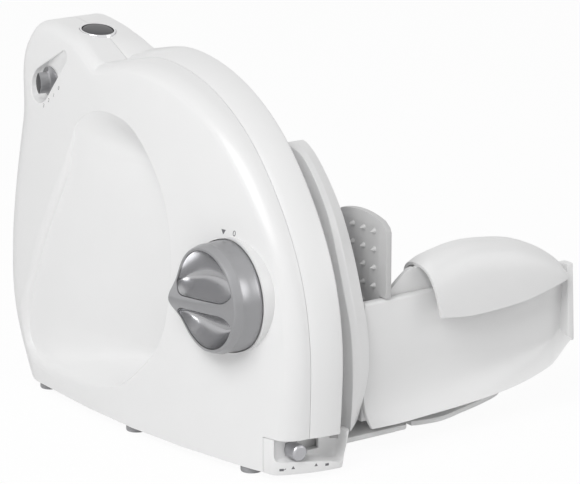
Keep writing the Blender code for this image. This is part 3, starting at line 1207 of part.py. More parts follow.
def dome_form(inset):
    """The hand guard as a solid, or the room inside it when it is set in by a wall."""
    rings = []
    left = between(DOME_LEFT, DOME_LEFT[-1][0])
    foot = DOME_LEFT[0][1]
    for share in dome_stations():
        crest = between(DOME_CREST, left + (DOME_RIGHT_X - left) * share) - inset
        lip = between(DOME_LIP, foot + (DOME_RIGHT_X - foot) * share)
        close = max(0.0, (share - 0.94) / 0.06)
        wide = DOME_HALF_Y * (1 - 0.16 * max(0.0, (share - 0.55) / 0.45) ** 2) * (1 - 0.05 * close) - inset
        crest -= 0.0008 * close
        level = []
        for k in range(17):
            angle = math.pi * k / 16
            out = -math.copysign(abs(math.cos(angle)) ** 0.7, math.cos(angle))
            up = max(math.sin(angle), 0.0) ** 0.8
            z = lip + (crest - lip) * up
            near = between(DOME_LEFT, z)
            x = near + (DOME_RIGHT_X - near) * share
            if inset:
                x += {0.0: -0.004, 1.0: -inset}.get(share, 0.0)
            level.append(Vector((x, DOME_MIDDLE_Y + wide * out, z)))
        if inset:
            level[0].z -= 0.010
            level[-1].z -= 0.010
            level.insert(1, Vector((level[0].x, level[0].y, lip + 0.0005)))
            level.insert(-1, Vector((level[-1].x, level[-1].y, lip + 0.0005)))
        rings.append(level)
    return loft(rings)


def build_food_holder(body, white, grey):
    dome = add_piece("hand_guard", dome_form(0.0), body, white, 40)
    cut(dome, dome_form(DOME_WALL), "inside", body)
    notch = box((DOME_RIGHT_X - 0.014, NOTCH_Y[0], 0.060), (DOME_RIGHT_X + 0.010, NOTCH_Y[1], WALL_TOP_Z + 0.0016))
    cut(dome, notch, "notch", body)
    left = between(DOME_LEFT, DOME_LEFT[-1][0])
    low_x = PLATE_SPIKED_X[1] + GAP
    outline = [(low_x, PANEL_LOW_Z), (low_x, 0.0925)] + PANEL_EDGE + [(left - 0.0022, 0.1078)]
    for share in dome_stations()[:-3]:
        x = left + (DOME_RIGHT_X - left) * share
        outline.append((x, between(DOME_CREST, x) - DOME_WALL - 0.0006))
    outline.append((outline[-1][0], PANEL_LOW_Z))
    add_piece("holder_panel", prism("Y", outline, *PANEL_Y), body, white)
    front, rear = SPIKED_Y
    top = SPIKED_TOP_Z
    edge = [(PANEL_Y[0] + 0.0002, 0.0275), (rear, 0.0275), (rear, top - 0.004), (rear - 0.0015, top - 0.0010)]
    middle = (front + rear) / 2
    for k in range(1, 8):
        y = rear - 0.004 - (rear - front - 0.008) * k / 8
        lift = SPIKED_CROWN * (1 - ((y - middle) / (rear - middle)) ** 2)
        edge.append((y, top + lift))
    edge += [(front + 0.0015, top - 0.0010), (front, top - 0.004), (front, WALL_TOP_Z + 0.0006)]
    edge.append((PANEL_Y[0] + 0.0002, WALL_TOP_Z + 0.0006))
    plate = add_piece("spiked_plate", prism("X", edge, *PLATE_SPIKED_X), body, grey)
    spikes = []
    for row in range(9):
        for column in range(4):
            y = 0.0110 + SPIKE_PITCH * column * 0.96
            z = 0.1330 - SPIKE_PITCH * row
            foot = PLATE_SPIKED_X[0] + 0.0003
            spike = bmesh.new()
            corners = []
            for a, b in ((-1, -1), (1, -1), (1, 1), (-1, 1)):
                corners.append(spike.verts.new((foot, y + a * SPIKE_HALF, z + b * SPIKE_HALF)))
            tip = spike.verts.new((PLATE_SPIKED_X[0] - SPIKE_HEIGHT, y, z))
            spike.faces.new(corners)
            for k in range(4):
                spike.faces.new((corners[k], corners[(k + 1) % 4], tip))
            spikes.append(spike)
    unite(plate, merge(*spikes), "spikes", body)


def centre(root):
    """Moves the whole slicer so that its box stands centred on the origin."""
    bpy.context.view_layer.update()
    graph = bpy.context.evaluated_depsgraph_get()
    corners = []
    for obj in bpy.context.scene.objects:
        if obj.type == "MESH" and not obj.hide_render:
            evaluated = obj.evaluated_get(graph)
            corners += [evaluated.matrix_world @ Vector(corner) for corner in evaluated.bound_box]
    low = [min(corner[axis] for corner in corners) for axis in range(3)]
    high = [max(corner[axis] for corner in corners) for axis in range(3)]
    root.location = (-(low[0] + high[0]) / 2, -(low[1] + high[1]) / 2, -low[2])


def main():
    clear_scene()
    root = empty("slicer", (0, 0, 0))
    frame = Body("frame", (0, 0, 0), root)
    plate_body = Body("stop_plate_body", (PLATE_X, KNOB_Y, KNOB_Z), root)
    knob_body = Body("knob", (KNOB_FRONT_X, KNOB_Y, KNOB_Z), root)
    blade_body = Body("blade_group", (BLADE_FACE_X, BLADE_Y, BLADE_Z), root)
    rotor_body = Body("rotor_group", (DRIVE_X, BLADE_Y, MOTOR_Z), root)
    switch_body = Body("switch", (SWITCH_FLOOR_X, SWITCH_Y, SWITCH_Z), root)
    button_body = Body("button", (BUTTON_X, BUTTON_Y, BUTTON_FOOT_Z), root)
    lock_body = Body("lock", (LOCK_X, LOCK_BACK_Y, LOCK_Z), root)
    carriage_body = Body("carriage_group", (RAIL_X, 0, DECK_TOP_Z), root)
    holder_body = Body("food_holder", (PLATE_SPIKED_X[0], 0, WALL_TOP_Z), root)

    white = finish("white_plastic", (0.80, 0.80, 0.80), 0.35)
    grey = finish("grey_plastic", (0.55, 0.55, 0.55), 0.45)
    rubber = finish("grey_rubber", (0.16, 0.16, 0.17), 0.8)
    dark = finish("dark_plastic", (0.05, 0.05, 0.055), 0.5)
    silver = finish("satin_silver", (0.60, 0.60, 0.61), 0.35, 0.9)
    polished = finish("polished_silver", (0.72, 0.72, 0.73), 0.15, 1.0)
    chrome = finish("chrome", (0.75, 0.75, 0.76), 0.08, 1.0)
    steel = finish("steel", (0.50, 0.50, 0.52), 0.3, 1.0)
    blade_steel = finish("blade_steel", (0.66, 0.66, 0.68), 0.22, 1.0)
    copper = finish("copper", (0.62, 0.28, 0.14), 0.35, 1.0)
    brass = finish("brass", (0.66, 0.49, 0.22), 0.35, 1.0)
    green = finish("board_green", (0.04, 0.20, 0.09), 0.5)

    build_left_shell(frame, white)
    build_right_shell(frame, white)
    build_base(frame, white)
    build_deck(frame, white)
    build_feet(frame, rubber)
    build_screws(frame, steel)
    build_guard(frame, white)
    build_motor(frame, steel, copper, dark, brass)
    build_controls(frame, dark, green)
    build_button_ring(frame, chrome)
    build_spring(frame, steel)
    build_cable_bush(frame, rubber)
    build_lock(lock_body, steel, dark)
    build_stop_plate(plate_body, white, steel)
    build_knob(knob_body, silver, polished, steel, dark)
    build_blade(blade_body, blade_steel, steel, dark, brass)
    build_rotor(rotor_body, steel, copper, dark)
    build_speed_switch(switch_body, silver)
    build_button(button_body, dark)
    build_carriage(carriage_body, white)
    build_food_holder(holder_body, white, grey)
    centre(root)


main()
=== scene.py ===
"""The food slicer's visible pieces, finishes, lights and camera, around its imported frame.

Shapes are drawn in metres from the front bottom corner of the housing, with +X towards the
carriage, +Y towards the rear and +Z up, and are then moved to the frame's own origin.
"""

import json
import math

import bmesh
import bpy
from bpy.props import FloatProperty, FloatVectorProperty, PointerProperty
from mathutils import Matrix, Vector


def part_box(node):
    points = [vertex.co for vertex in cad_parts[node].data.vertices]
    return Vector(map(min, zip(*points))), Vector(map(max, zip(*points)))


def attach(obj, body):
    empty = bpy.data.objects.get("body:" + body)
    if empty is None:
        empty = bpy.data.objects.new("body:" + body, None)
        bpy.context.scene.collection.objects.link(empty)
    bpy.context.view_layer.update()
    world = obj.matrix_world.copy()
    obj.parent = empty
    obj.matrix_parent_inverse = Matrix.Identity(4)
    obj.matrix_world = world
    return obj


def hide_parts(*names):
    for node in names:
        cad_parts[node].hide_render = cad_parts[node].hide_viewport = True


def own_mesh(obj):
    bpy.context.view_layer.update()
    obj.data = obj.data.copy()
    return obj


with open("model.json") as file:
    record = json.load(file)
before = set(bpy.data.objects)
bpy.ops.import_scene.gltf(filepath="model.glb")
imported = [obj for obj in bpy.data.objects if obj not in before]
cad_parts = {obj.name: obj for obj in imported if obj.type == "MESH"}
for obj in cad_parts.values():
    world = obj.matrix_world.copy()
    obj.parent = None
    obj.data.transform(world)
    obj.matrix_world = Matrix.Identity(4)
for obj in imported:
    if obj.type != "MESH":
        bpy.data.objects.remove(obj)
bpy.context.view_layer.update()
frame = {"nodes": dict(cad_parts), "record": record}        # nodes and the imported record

bl_info = {
    "name": "Food Slicer",
    "version": (1, 0, 0),
    "blender": (4, 5, 0),
    "location": "3D View > Sidebar > Slicer",
    "description": "Builds a household food slicer, piece by piece",
    "category": "Add Mesh",
}

# The frame: the whole box, and where the housing's front bottom corner stands in it
DECK_LEFT = 0.034
DECK_LOW = Vector(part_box("carriage_deck")[0])
CORNER = Vector((DECK_LOW.x - DECK_LEFT, DECK_LOW.y, 0.0))


def span(node):
    """A CAD node's lowest and highest corners, measured from the housing's corner."""
    low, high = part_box(node)
    return Vector(low) - CORNER, Vector(high) - CORNER


def centre_of(node, axis):
    """The middle of a CAD node across an axis: its two other coordinates in X, Y, Z order."""
    low, high = span(node)
    first, second = {"X": (1, 2), "Y": (0, 2), "Z": (0, 1)}[axis]
    return (low[first] + high[first]) / 2, (low[second] + high[second]) / 2


# Clearances and walls
GAP = 0.0003
RUN = 0.00035
WALL = 0.0025

# Housing
PART_X = 0.005
RIM_X = 0.026
FACE_X = -0.041
FACE_TOE_Y = 0.165
FACE_TOE_Z = 0.006
BOTTOM_Z = 0.004
BASE_TOP_Z = 0.008
FRONT_EDGE = [
    (-0.0165, -0.026), (-0.0190, 0.006), (-0.0215, 0.040), (-0.0215, 0.080), (-0.0140, 0.117),
    (0.0030, 0.151), (0.0300, 0.184), (0.0600, 0.206), (0.0950, 0.2195), (0.1350, 0.2235),
    (0.1760, 0.2155),
]
REAR_EDGE = [
    (0.1760, 0.2155), (0.2000, 0.2262), (0.2230, 0.2302), (0.2420, 0.2308), (0.2560, 0.2238),
    (0.2650, 0.2000), (0.2675, 0.1500), (0.2680, 0.0900), (0.2620, 0.0450), (0.2435, 0.0050),
    (0.2220, -0.026),
]
POLAR = Vector((0.120, 0.105))
RIM_FLARE = 0.0045
FRONT_ROUND = 0.0075
FRONT_ROUND_DEPTH = 0.012
TOWER_ROUND = 0.007
REAR_ROUND = 0.025
TOWER_FOOT_Z = 0.165
TOWER_HEAD_Z = 0.215

# Slice chute and window
CHUTE_EDGE = [
    (0.1500, 0.1900), (0.1280, 0.1865), (0.1070, 0.1730), (0.0900, 0.1540), (0.0800, 0.1320),
    (0.0758, 0.1100), (0.0765, 0.0850), (0.0820, 0.0640), (0.0960, 0.0460), (0.1160, 0.0300),
    (0.1420, 0.0225), (0.1850, 0.0200), (0.2120, 0.0205), (0.2270, 0.0280), (0.2300, 0.0440),
    (0.2250, 0.0640), (0.2150, 0.0920), (0.2030, 0.1190), (0.1920, 0.1430), (0.1880, 0.1620),
    (0.1850, 0.1770), (0.1700, 0.1870),
]
CHUTE_SPINE = [
    (0.044, 0.100), (0.060, 0.092), (0.080, 0.086), (0.110, 0.085), (0.130, 0.089), (0.160, 0.104),
]
CHUTE_FLOOR_X = -0.006
WINDOW_Z = (0.030, 0.150)
WINDOW_LEFT_Y = (0.0715, 0.0870)
WINDOW_RIGHT_Y = (0.0500, 0.0755)

# Blade
BLADE_LOW, BLADE_HIGH = span("blade")
BLADE_AXIS = centre_of("blade", "X")
BLADE_RADIUS = (BLADE_HIGH.z - BLADE_LOW.z) / 2
BLADE_FACE_X = BLADE_HIGH.x
BLADE_BACK_X = BLADE_LOW.x
BLADE_TEETH = 36
HUB_HOLE = 0.008
DRUM_RADIUS = 0.038
DRUM_X = 0.052
BUSH_RADIUS = 0.009

# Knob
KNOB_LOW, KNOB_HIGH = span("knob_body")
KNOB_AXIS = centre_of("knob_body", "X")
KNOB_RADIUS = (KNOB_HIGH.z - KNOB_LOW.z) / 2
KNOB_BACK_X = KNOB_HIGH.x
KNOB_FRONT_RADIUS = 0.031
KNOB_FRONT_X = -0.0345
POCKET_X = KNOB_BACK_X + GAP
BAR_Z = -0.003
BAR_TILT = math.radians(5.0)
SCOOP_RADIUS = 0.0292
SCOOP_DEEPEST = 0.42
BAR_CREST = [
    (-0.0310, -0.0345), (-0.0240, -0.0354), (-0.0150, -0.0371), (-0.0050, -0.0386),
    (0.0050, -0.0396), (0.0150, -0.0403), (0.0220, -0.0409), (0.0280, -0.0409), (0.0310, -0.0409),
]

# Controls
SWITCH_AXIS = (0.231, 0.194)
SWITCH_FLOOR_X = -0.0175
RECESS_RADIUS = 0.0112
RECESS_TIP = Vector((0.2125, 0.2125))
RECESS_TIP_RADIUS = 0.0045
BUTTON_AXIS = centre_of("button_ring", "Z")
BUTTON_RADIUS = 0.0098
BUTTON_RING = 0.0012
BUTTON_FOOT_Z = 0.216
BUTTON_TOP_Z = 0.2283
BUTTON_SLOPE = 0.17
SPRING_WIRE = 0.0004
SPRING_TURNS = 4

# Base and deck
BLOCK_TOP_Z = 0.0255
BLOCK_BACK_Y = -0.003
BLOCK_PLAN = [
    (-0.0155, -0.0030), (-0.0135, -0.0100), (-0.0090, -0.0135), (0.0, -0.0170), (0.0080, -0.0194),
    (0.0170, -0.0212), (0.0260, -0.0222), (0.0310, -0.0215), (0.0330, -0.0185), (0.0330, -0.0030),
]
BLOCK_LEAN = (-0.0030, 0.0020)
SCOOP_EDGE = [
    (-0.0145, 0.0175), (-0.0142, 0.0145), (-0.0122, 0.0124), (-0.0090, 0.0118), (0.0, 0.0115),
    (0.0100, 0.0106), (0.0180, 0.0094), (0.0245, 0.0080), (0.0283, 0.0078), (0.0304, 0.0095),
    (0.0312, 0.0125),
]
LOCK_X = 0.0
LOCK_Z = 0.0175
LOCK_FLOOR_Y = -0.0090
PIN_RADIUS = 0.0049
PIN_NECK_RADIUS = 0.0035
RAIL_X = 0.084
RAIL_HALF = 0.0016
RAIL_TOP_Z = 0.0152
DECK_TOP_Z = 0.0115
WING_EDGE = [
    (0.0970, 0.0030), (0.1040, 0.0010), (0.1180, 0.0), (0.1370, 0.0050), (0.1570, 0.0110),
    (0.1760, 0.0190), (0.1845, 0.0300), (0.1865, 0.0500), (0.1840, 0.0750), (0.1760, 0.0980),
    (0.1620, 0.1150), (0.1420, 0.1260), (0.1200, 0.1300),
]

# Stop plate
PLATE_X = 0.043
PLATE_LEFT_EDGE = [
    (0.0610, 0.1810), (0.0500, 0.1795), (0.0390, 0.1750), (0.0260, 0.1620), (0.0140, 0.1445),
    (0.0050, 0.1220), (-0.0020, 0.1020), (-0.0080, 0.0840), (-0.0105, 0.0650), (-0.0110, 0.0460),
    (-0.0090, 0.0190),
]
PLATE_RIGHT_EDGE = [
    (0.0610, 0.1810), (0.0560, 0.1798), (0.0462, 0.1738), (0.0322, 0.1603), (0.0187, 0.1428),
    (0.0077, 0.1213), (0.0002, 0.1013), (-0.0053, 0.0838), (-0.0083, 0.0648), (-0.0058, 0.0450),
    (0.0040, 0.0190),
]
PLATE_CLEAR = 0.002
PLATE_RIDGE = 0.32
PLATE_BULGE = 0.0016

# Carriage and food holder
CARRIAGE_LEFT = 0.0595
CARRIAGE_RIGHT = 0.212
FLANGE_X = 0.216
WALL_TOP_Z = 0.093
WALL_THICK = 0.005
FLOOR_REAR_Y = 0.104
SKIN = 0.0022
CREASE = [(0.0595, 0.0590), (0.0910, 0.0581), (0.1300, 0.0556), (0.1730, 0.0500), (0.2060, 0.0480)]
FLARE = [
    (0.0610, 0.0340), (0.0705, 0.0414), (0.0820, 0.0470), (0.0960, 0.0490), (0.1120, 0.0500),
    (0.1280, 0.0498), (0.1515, 0.0460), (0.1725, 0.0440),
]
SKIRT_FOOT = [
    (0.0610, 0.0172), (0.0800, 0.0169), (0.0985, 0.0177), (0.1260, 0.0190), (0.1530, 0.0213),
    (0.1740, 0.0248), (0.1950, 0.0313), (0.2020, 0.0369), (0.2090, 0.0438), (0.2120, 0.0460),
]
SPIKED_X = (0.074, 0.078)
SPIKED_Y = (-0.001, 0.051)
SPIKED_TOP_Z = 0.138
SPIKE_PITCH = 0.0112
PANEL_Y = (0.0054, 0.0084)
DOME_LEFT = ((0.079, 0.1076), (0.112, 0.1006))
DOME_RIGHT_X = 0.2082
DOME_MIDDLE_Y = 0.006
DOME_HALF_Y = 0.018
DOME_WALL = 0.002
DOME_CREST = [
    (0.1000, 0.1095), (0.1080, 0.1132), (0.1213, 0.1163), (0.1294, 0.1176), (0.1416, 0.1180),
    (0.1623, 0.1158), (0.1762, 0.1127), (0.1904, 0.1067), (0.2019, 0.0991), (0.2082, 0.0930),
]
DOME_LIP = [
    (0.1076, 0.0790), (0.1218, 0.0770), (0.1354, 0.0763), (0.1490, 0.0767), (0.1628, 0.0777),
    (0.1767, 0.0792), (0.1906, 0.0820), (0.2082, 0.0855),
]

# Camera, marks and lamps
CAMERA_POINT = Vector((-0.9358, -1.3699, 0.6165))
CAMERA_TURN = (math.radians(74.0), 0.0, math.radians(-34.5))
CAMERA_LENS = 186.2
INK_LIFT = 0.00004
LAMP_AIM = Vector((0.0, 0.0, 0.11))


# Settings

def colour(name, description, default):
    return FloatVectorProperty(
        name=name, description=description, subtype="COLOR", size=3, min=0, max=1, default=default)


def length(name, description, low, high, default):
    return FloatProperty(
        name=name, description=description, unit="LENGTH", precision=5, min=low, max=high, default=default)


def power(name, description, default):
    return FloatProperty(name=name, description=description, unit="POWER", min=0, max=500, default=default)


class FinishSettings(bpy.types.PropertyGroup):
    """Colours of the slicer's materials"""

    white: colour("White", "Plastic of the housing, base, carriage and hand guard", (0.80, 0.80, 0.80))
    # The spiked plate's grey is painted shade: it stands for the shade that the housing casts on the plate's
    # left face.
    grey: colour("Light grey", "Plastic of the spiked plate", (0.55, 0.55, 0.55))
    silver: colour("Silver", "Satin lacquer of the thickness knob and the speed lever", (0.36, 0.36, 0.37))
    dark: colour("Dark grey", "Safety button, lever face and other dark mouldings", (0.052, 0.052, 0.055))
    rubber: colour("Rubber", "Feet and cord gland", (0.30, 0.30, 0.31))
    ink: colour("Ink", "Printed numbers and arrows", (0.14, 0.14, 0.15))


class ShapeSettings(bpy.types.PropertyGroup):
    """Sizes of the slicer's fine forms"""

    chute_crisp: length("Chute front lip", "Rounding where the chute's lip is crisp", 0.0002, 0.003, 0.0006)
    chute_soft: length("Chute rear lip", "Rounding where the chute fades into the side", 0.001, 0.012, 0.0070)
    scoop_depth: length("Knob scoop", "Depth of the scoops beside the grip bar", 0.002, 0.014, 0.0105)
    bar_half: length("Grip bar", "Half the thickness of the knob's grip bar", 0.002, 0.006, 0.0036)
    tooth_depth: length("Blade teeth", "Depth of the waves round the blade's edge", 0.0004, 0.0025, 0.0012)


class StageSettings(bpy.types.PropertyGroup):
    """Strength of the lights"""

    room: FloatProperty(name="Room", description="Light from all round", min=0, max=2, default=0.42)
    key: power("Key lamp", "Large lamp above and to the left", 24)
    fill: power("Fill lamp", "Large lamp to the right", 6)
    floor: colour("Floor", "Colour of the floor", (0.93, 0.93, 0.93))


# Curves and outlines

def spline(points, steps):
    """Points of a smooth curve through the given points, the last one left out."""
    knots = [Vector(p) for p in points]
    knots = [2 * knots[0] - knots[1]] + knots + [2 * knots[-1] - knots[-2]]
    curve = []
    for a, b, c, d in zip(knots, knots[1:], knots[2:], knots[3:]):
        for k in range(steps):
            t = k / steps
            curve.append(0.5 * (2 * b + (c - a) * t + (2 * a - 5 * b + 4 * c - d) * t**2
                                + (3 * b - 3 * c + d - a) * t**3))
    return curve


def closed_spline(points, steps):
    wrapped = [points[k % len(points)] for k in range(-1, len(points) + 2)]
    return spline(wrapped, steps)[steps:-steps]


def between(table, value):
    """Straight interpolation in a table of rising (key, result) pairs."""
    if value <= table[0][0]:
        return table[0][1]
    for (low, first), (high, second) in zip(table, table[1:]):
        if value <= high:
            return first + (second - first) * (value - low) / (high - low)
    return table[-1][1]


def along(table, value):
    """Smooth interpolation in a table of rising (key, result) pairs."""
    curve = [tuple(p) for p in spline(table, 8)] + [table[-1]]
    return between(curve, value)


def ease(t):
    t = min(max(t, 0.0), 1.0)
    return t * t * (3 - 2 * t)


def circle(radius, steps, centre=(0.0, 0.0)):
    """Points of a circle, as pairs of coordinates."""
    turns = [2 * math.pi * k / steps for k in range(steps)]
    return [(centre[0] + radius * math.cos(a), centre[1] + radius * math.sin(a)) for a in turns]


def on_axis(axis, place, first, second):
    """A point from its place along an axis and its two other coordinates in X, Y, Z order."""
    return {"X": Vector((place, first, second)), "Y": Vector((first, place, second)),
            "Z": Vector((first, second, place))}[axis]


def face_x(y, z):
    """The bowed left face of the housing."""
    return FACE_X + max(0.0, FACE_TOE_Y - y) ** 2 / 1.1 + max(0.0, z - FACE_TOE_Z) ** 2 / 2.0


# Modelling steps

def take(obj):
    """Makes one object the only one that the next operator acts on."""
    if bpy.context.object and bpy.context.object.mode == "EDIT":
        bpy.ops.object.mode_set(mode="OBJECT")
    bpy.ops.object.select_all(action="DESELECT")
    obj.select_set(True)
    bpy.context.view_layer.objects.active = obj
    return obj


def edit(obj):
    """Opens an object for editing, with all of it selected."""
    take(obj)
    bpy.ops.object.mode_set(mode="EDIT")
    bpy.ops.mesh.select_all(action="SELECT")
    return obj


def linked(name, data):
    """A new object in the scene, from its data."""
    obj = bpy.data.objects.new(name, data)
    bpy.context.scene.collection.objects.link(obj)
    return obj


def lay(obj, ring):
    """Sets the corners of the selected face on a ring of points."""
    mesh = bmesh.from_edit_mesh(obj.data)
    face = next(face for face in mesh.faces if face.select)
    for loop, point in zip(face.loops, ring):
        loop.vert.co = point
    bmesh.update_edit_mesh(obj.data)


def face_outwards(obj):
    edit(obj)
    bpy.ops.mesh.normals_make_consistent(inside=False)
    bpy.ops.object.mode_set(mode="OBJECT")
    return obj


def loft(rings):
    """A solid through rings of points: a filled circle, extruded from ring to ring."""
    bpy.ops.object.select_all(action="DESELECT")
    bpy.ops.mesh.primitive_circle_add(vertices=len(rings[0]), fill_type="NGON")
    obj = bpy.context.object
    bpy.ops.object.mode_set(mode="EDIT")
    lay(obj, rings[0])
    for ring in rings[1:]:
        bpy.ops.mesh.extrude_region_move()
        lay(obj, ring)
    return face_outwards(obj)


def prism(axis, outline, low, high):
    return loft([[on_axis(axis, place, *point) for point in outline] for place in (low, high)])


def turned(axis, centre, profile, steps=96, sweep=2 * math.pi, start=0.0):
    """A piece spun about an axis from a profile of (radius, place along the axis)."""
    way = {"X": (1, 0, 0), "Y": (0, 1, 0), "Z": (0, 0, 1)}[axis]
    middle = on_axis(axis, 0.0, *centre)
    side = Vector((0, 0, 1)) if axis != "Z" else Vector((1, 0, 0))
    side = Matrix.Rotation(start, 3, way) @ side
    points = [middle + Vector(way) * place + side * radius for radius, place in profile]
    full = abs(sweep - 2 * math.pi) < 1e-6
    on_centre = profile[0][0] < 1e-7
    edges = [(k, k + 1) for k in range(len(points) - 1)]
    if not on_centre:
        edges.append((len(points) - 1, 0))
    data = bpy.data.meshes.new("profile")
    data.from_pydata(points, [] if not full else edges, [] if full else [range(len(points))])
    obj = edit(linked("profile", data))
    bpy.ops.mesh.spin(steps=steps, angle=sweep, center=middle, axis=way)
    bpy.ops.mesh.select_all(action="SELECT")
    bpy.ops.mesh.remove_doubles(threshold=1e-6)
    return face_outwards(obj)


def disc(axis, centre, radius, low, high, steps=96):
    return turned(axis, centre, [(0.0, low), (radius, low), (radius, high), (0.0, high)], steps)


def ring(axis, centre, inner, outer, low, high, steps=96):
    return turned(axis, centre, [(inner, low), (outer, low), (outer, high), (inner, high)], steps)


def slab(low, high):
    """A block between two corners."""
    low, high = Vector(low), Vector(high)
    bpy.ops.object.select_all(action="DESELECT")
    bpy.ops.mesh.primitive_cube_add(size=1, location=(low + high) / 2, scale=high - low)
    obj = bpy.context.object
    bpy.ops.object.transform_apply(location=True, rotation=True, scale=True)
    return obj


def joined(objs):
    """Several shapes that don't touch, as one object."""
    take(objs[0])
    for obj in objs[1:]:
        obj.select_set(True)
    if len(objs) > 1:
        bpy.ops.object.join()
    return objs[0]


def carve(obj, tool, operation="DIFFERENCE"):
    """Cuts a shape from an object, or joins it on."""
    take(obj)
    modifier = obj.modifiers.new("Carve", "BOOLEAN")
    modifier.operation = operation
    modifier.solver = "EXACT"
    modifier.object = tool
    bpy.ops.object.modifier_apply(modifier=modifier.name)
    bpy.data.objects.remove(tool, do_unlink=True)
    return obj


def soften(obj, width, angle=40, segments=2):
    """Rounds the edges that turn by more than an angle."""
    take(obj)
    modifier = obj.modifiers.new("Soften", "BEVEL")
    modifier.width = width
    modifier.segments = segments
    modifier.limit_method = "ANGLE"
    modifier.angle_limit = math.radians(angle)
    modifier.use_clamp_overlap = True
    bpy.ops.object.modifier_apply(modifier=modifier.name)
    return obj


def cut_level(obj, height):
    """Cuts a solid off at a height and fills the cut."""
    edit(obj)
    bpy.ops.mesh.bisect(plane_co=(0, 0, height), plane_no=(0, 0, 1), use_fill=True, clear_inner=True)
    bpy.ops.object.mode_set(mode="OBJECT")
    return obj


def settle(obj, name, body, slot, stands_for=(), smooth=32):
    """Names a finished piece, moves it to the frame's origin, and gives it its finish and its body."""
    take(obj)
    bpy.ops.object.transform_apply(location=True, rotation=True, scale=True)
    obj.name = name
    obj.data.name = name
    obj.data.transform(Matrix.Translation(CORNER))
    obj.data.materials.clear()
    obj.data.materials.append(finish(slot))
    if smooth:
        bpy.ops.object.shade_smooth_by_angle(angle=math.radians(smooth))
    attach(obj, body)
    if stands_for:
        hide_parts(*stands_for)
    return obj


# Finishes

class Value:
    """A socket of a material's nodes that Python's arithmetic can be written on."""

    def __init__(self, graph, socket):
        self.graph = graph
        self.socket = socket

    def __add__(self, other):
        return self.graph.math("ADD", self, other)

    def __mul__(self, other):
        return self.graph.math("MULTIPLY", self, other)

    __radd__ = __add__
    __rmul__ = __mul__


class Graph:
    """One material's nodes."""

    def __init__(self, name, colour, roughness, metallic=0.0):
        self.material = bpy.data.materials.new(name)
        self.material.use_nodes = True
        self.material.diffuse_color = (*colour, 1.0)
        self.nodes = self.material.node_tree.nodes
        self.links = self.material.node_tree.links
        self.shader = self.nodes["Principled BSDF"]
        self.put("Base Color", (*colour, 1.0))
        self.put("Roughness", roughness)
        self.put("Metallic", metallic)

    def put(self, socket, value):
        self.feed(self.shader.inputs[socket], value)

    def feed(self, socket, value):
        if isinstance(value, Value):
            self.links.new(value.socket, socket)
        else:
            socket.default_value = value

    def node(self, kind, settings, inputs, output=0):
        """Any node, from its type, its settings, and the values or links of its sockets."""
        made = self.nodes.new(kind)
        for key, value in settings.items():
            if key == "stops":
                for element, (place, colour) in zip(made.color_ramp.elements, value):
                    element.position = place
                    element.color = colour
            else:
                setattr(made, key, value)
        for key, value in inputs.items():
            self.feed(made.inputs[key], value)
        return Value(self, made.outputs[output])

    def math(self, operation, first, second):
        return self.node("ShaderNodeMath", {"operation": operation}, {0: first, 1: second})

    def place(self):
        return self.node("ShaderNodeTexCoord", {}, {}, "Object")

    def noise(self, scale, detail=2.0, stretch=(1, 1, 1)):
        """Noise between 0 and 1, drawn out along an axis where its stretch is small."""
        where = self.node("ShaderNodeMapping", {}, {"Vector": self.place(), "Scale": stretch})
        return self.node("ShaderNodeTexNoise", {}, {"Vector": where, "Scale": scale, "Detail": detail})

    def mix(self, factor, first, second):
        return self.node("ShaderNodeMix", {"data_type": "RGBA"}, {0: factor, 6: first, 7: second}, 2)

    def tint(self, factor, colour, low, high):
        """A colour that goes from low to high times itself."""
        first = (*[c * low for c in colour], 1.0)
        second = (*[min(c * high, 1.0) for c in colour], 1.0)
        self.put("Base Color", self.mix(factor, first, second))

    def bump(self, height, depth):
        relief = self.node("ShaderNodeBump", {}, {"Height": height, "Strength": 1.0, "Distance": depth})
        self.put("Normal", relief)


def moulded(name, colour, roughness, grain=0.000004, coat=0.0):
    """Moulded plastic: faint flow marks in its tone, a fine skin, and gloss that varies a little."""
    graph = Graph(name, colour, roughness)
    cloud = graph.noise(22, 3)
    skin = graph.noise(1500, 2)
    graph.tint(cloud, colour, 0.985, 1.015)
    graph.put("Roughness", roughness - 0.05 + 0.07 * cloud + 0.03 * skin)
    graph.put("Coat Weight", coat)
    graph.bump(skin + 0.4 * graph.noise(260, 1), grain)
    return graph.material


def rubber(name, colour):
    graph = Graph(name, colour, 0.75)
    dust = graph.noise(180, 4)
    graph.tint(dust, colour, 0.85, 1.25)
    graph.put("Roughness", 0.68 + 0.15 * dust)
    graph.bump(graph.noise(1400, 3), 0.00002)
    return graph.material


def lacquer(name, colour):
    """Satin silver lacquer with a fine metallic fleck."""
    graph = Graph(name, colour, 0.3, 0.9)
    fleck = graph.noise(3200, 1)
    graph.tint(fleck, colour, 0.93, 1.07)
    graph.put("Roughness", 0.24 + 0.08 * fleck + 0.04 * graph.noise(40, 2))
    graph.bump(fleck, 0.000002)
    return graph.material


def metal(name, colour, roughness, stretch=(1, 1, 1), lines=900, depth=0.000003):
    """Worked metal with fine lines along the axis where its stretch is small."""
    graph = Graph(name, colour, roughness, 1.0)
    stroke = graph.noise(lines, 3, stretch)
    graph.tint(stroke, colour, 0.94, 1.05)
    graph.put("Roughness", roughness - 0.04 + 0.08 * stroke + 0.03 * graph.noise(30, 2))
    graph.bump(stroke, depth)
    return graph.material


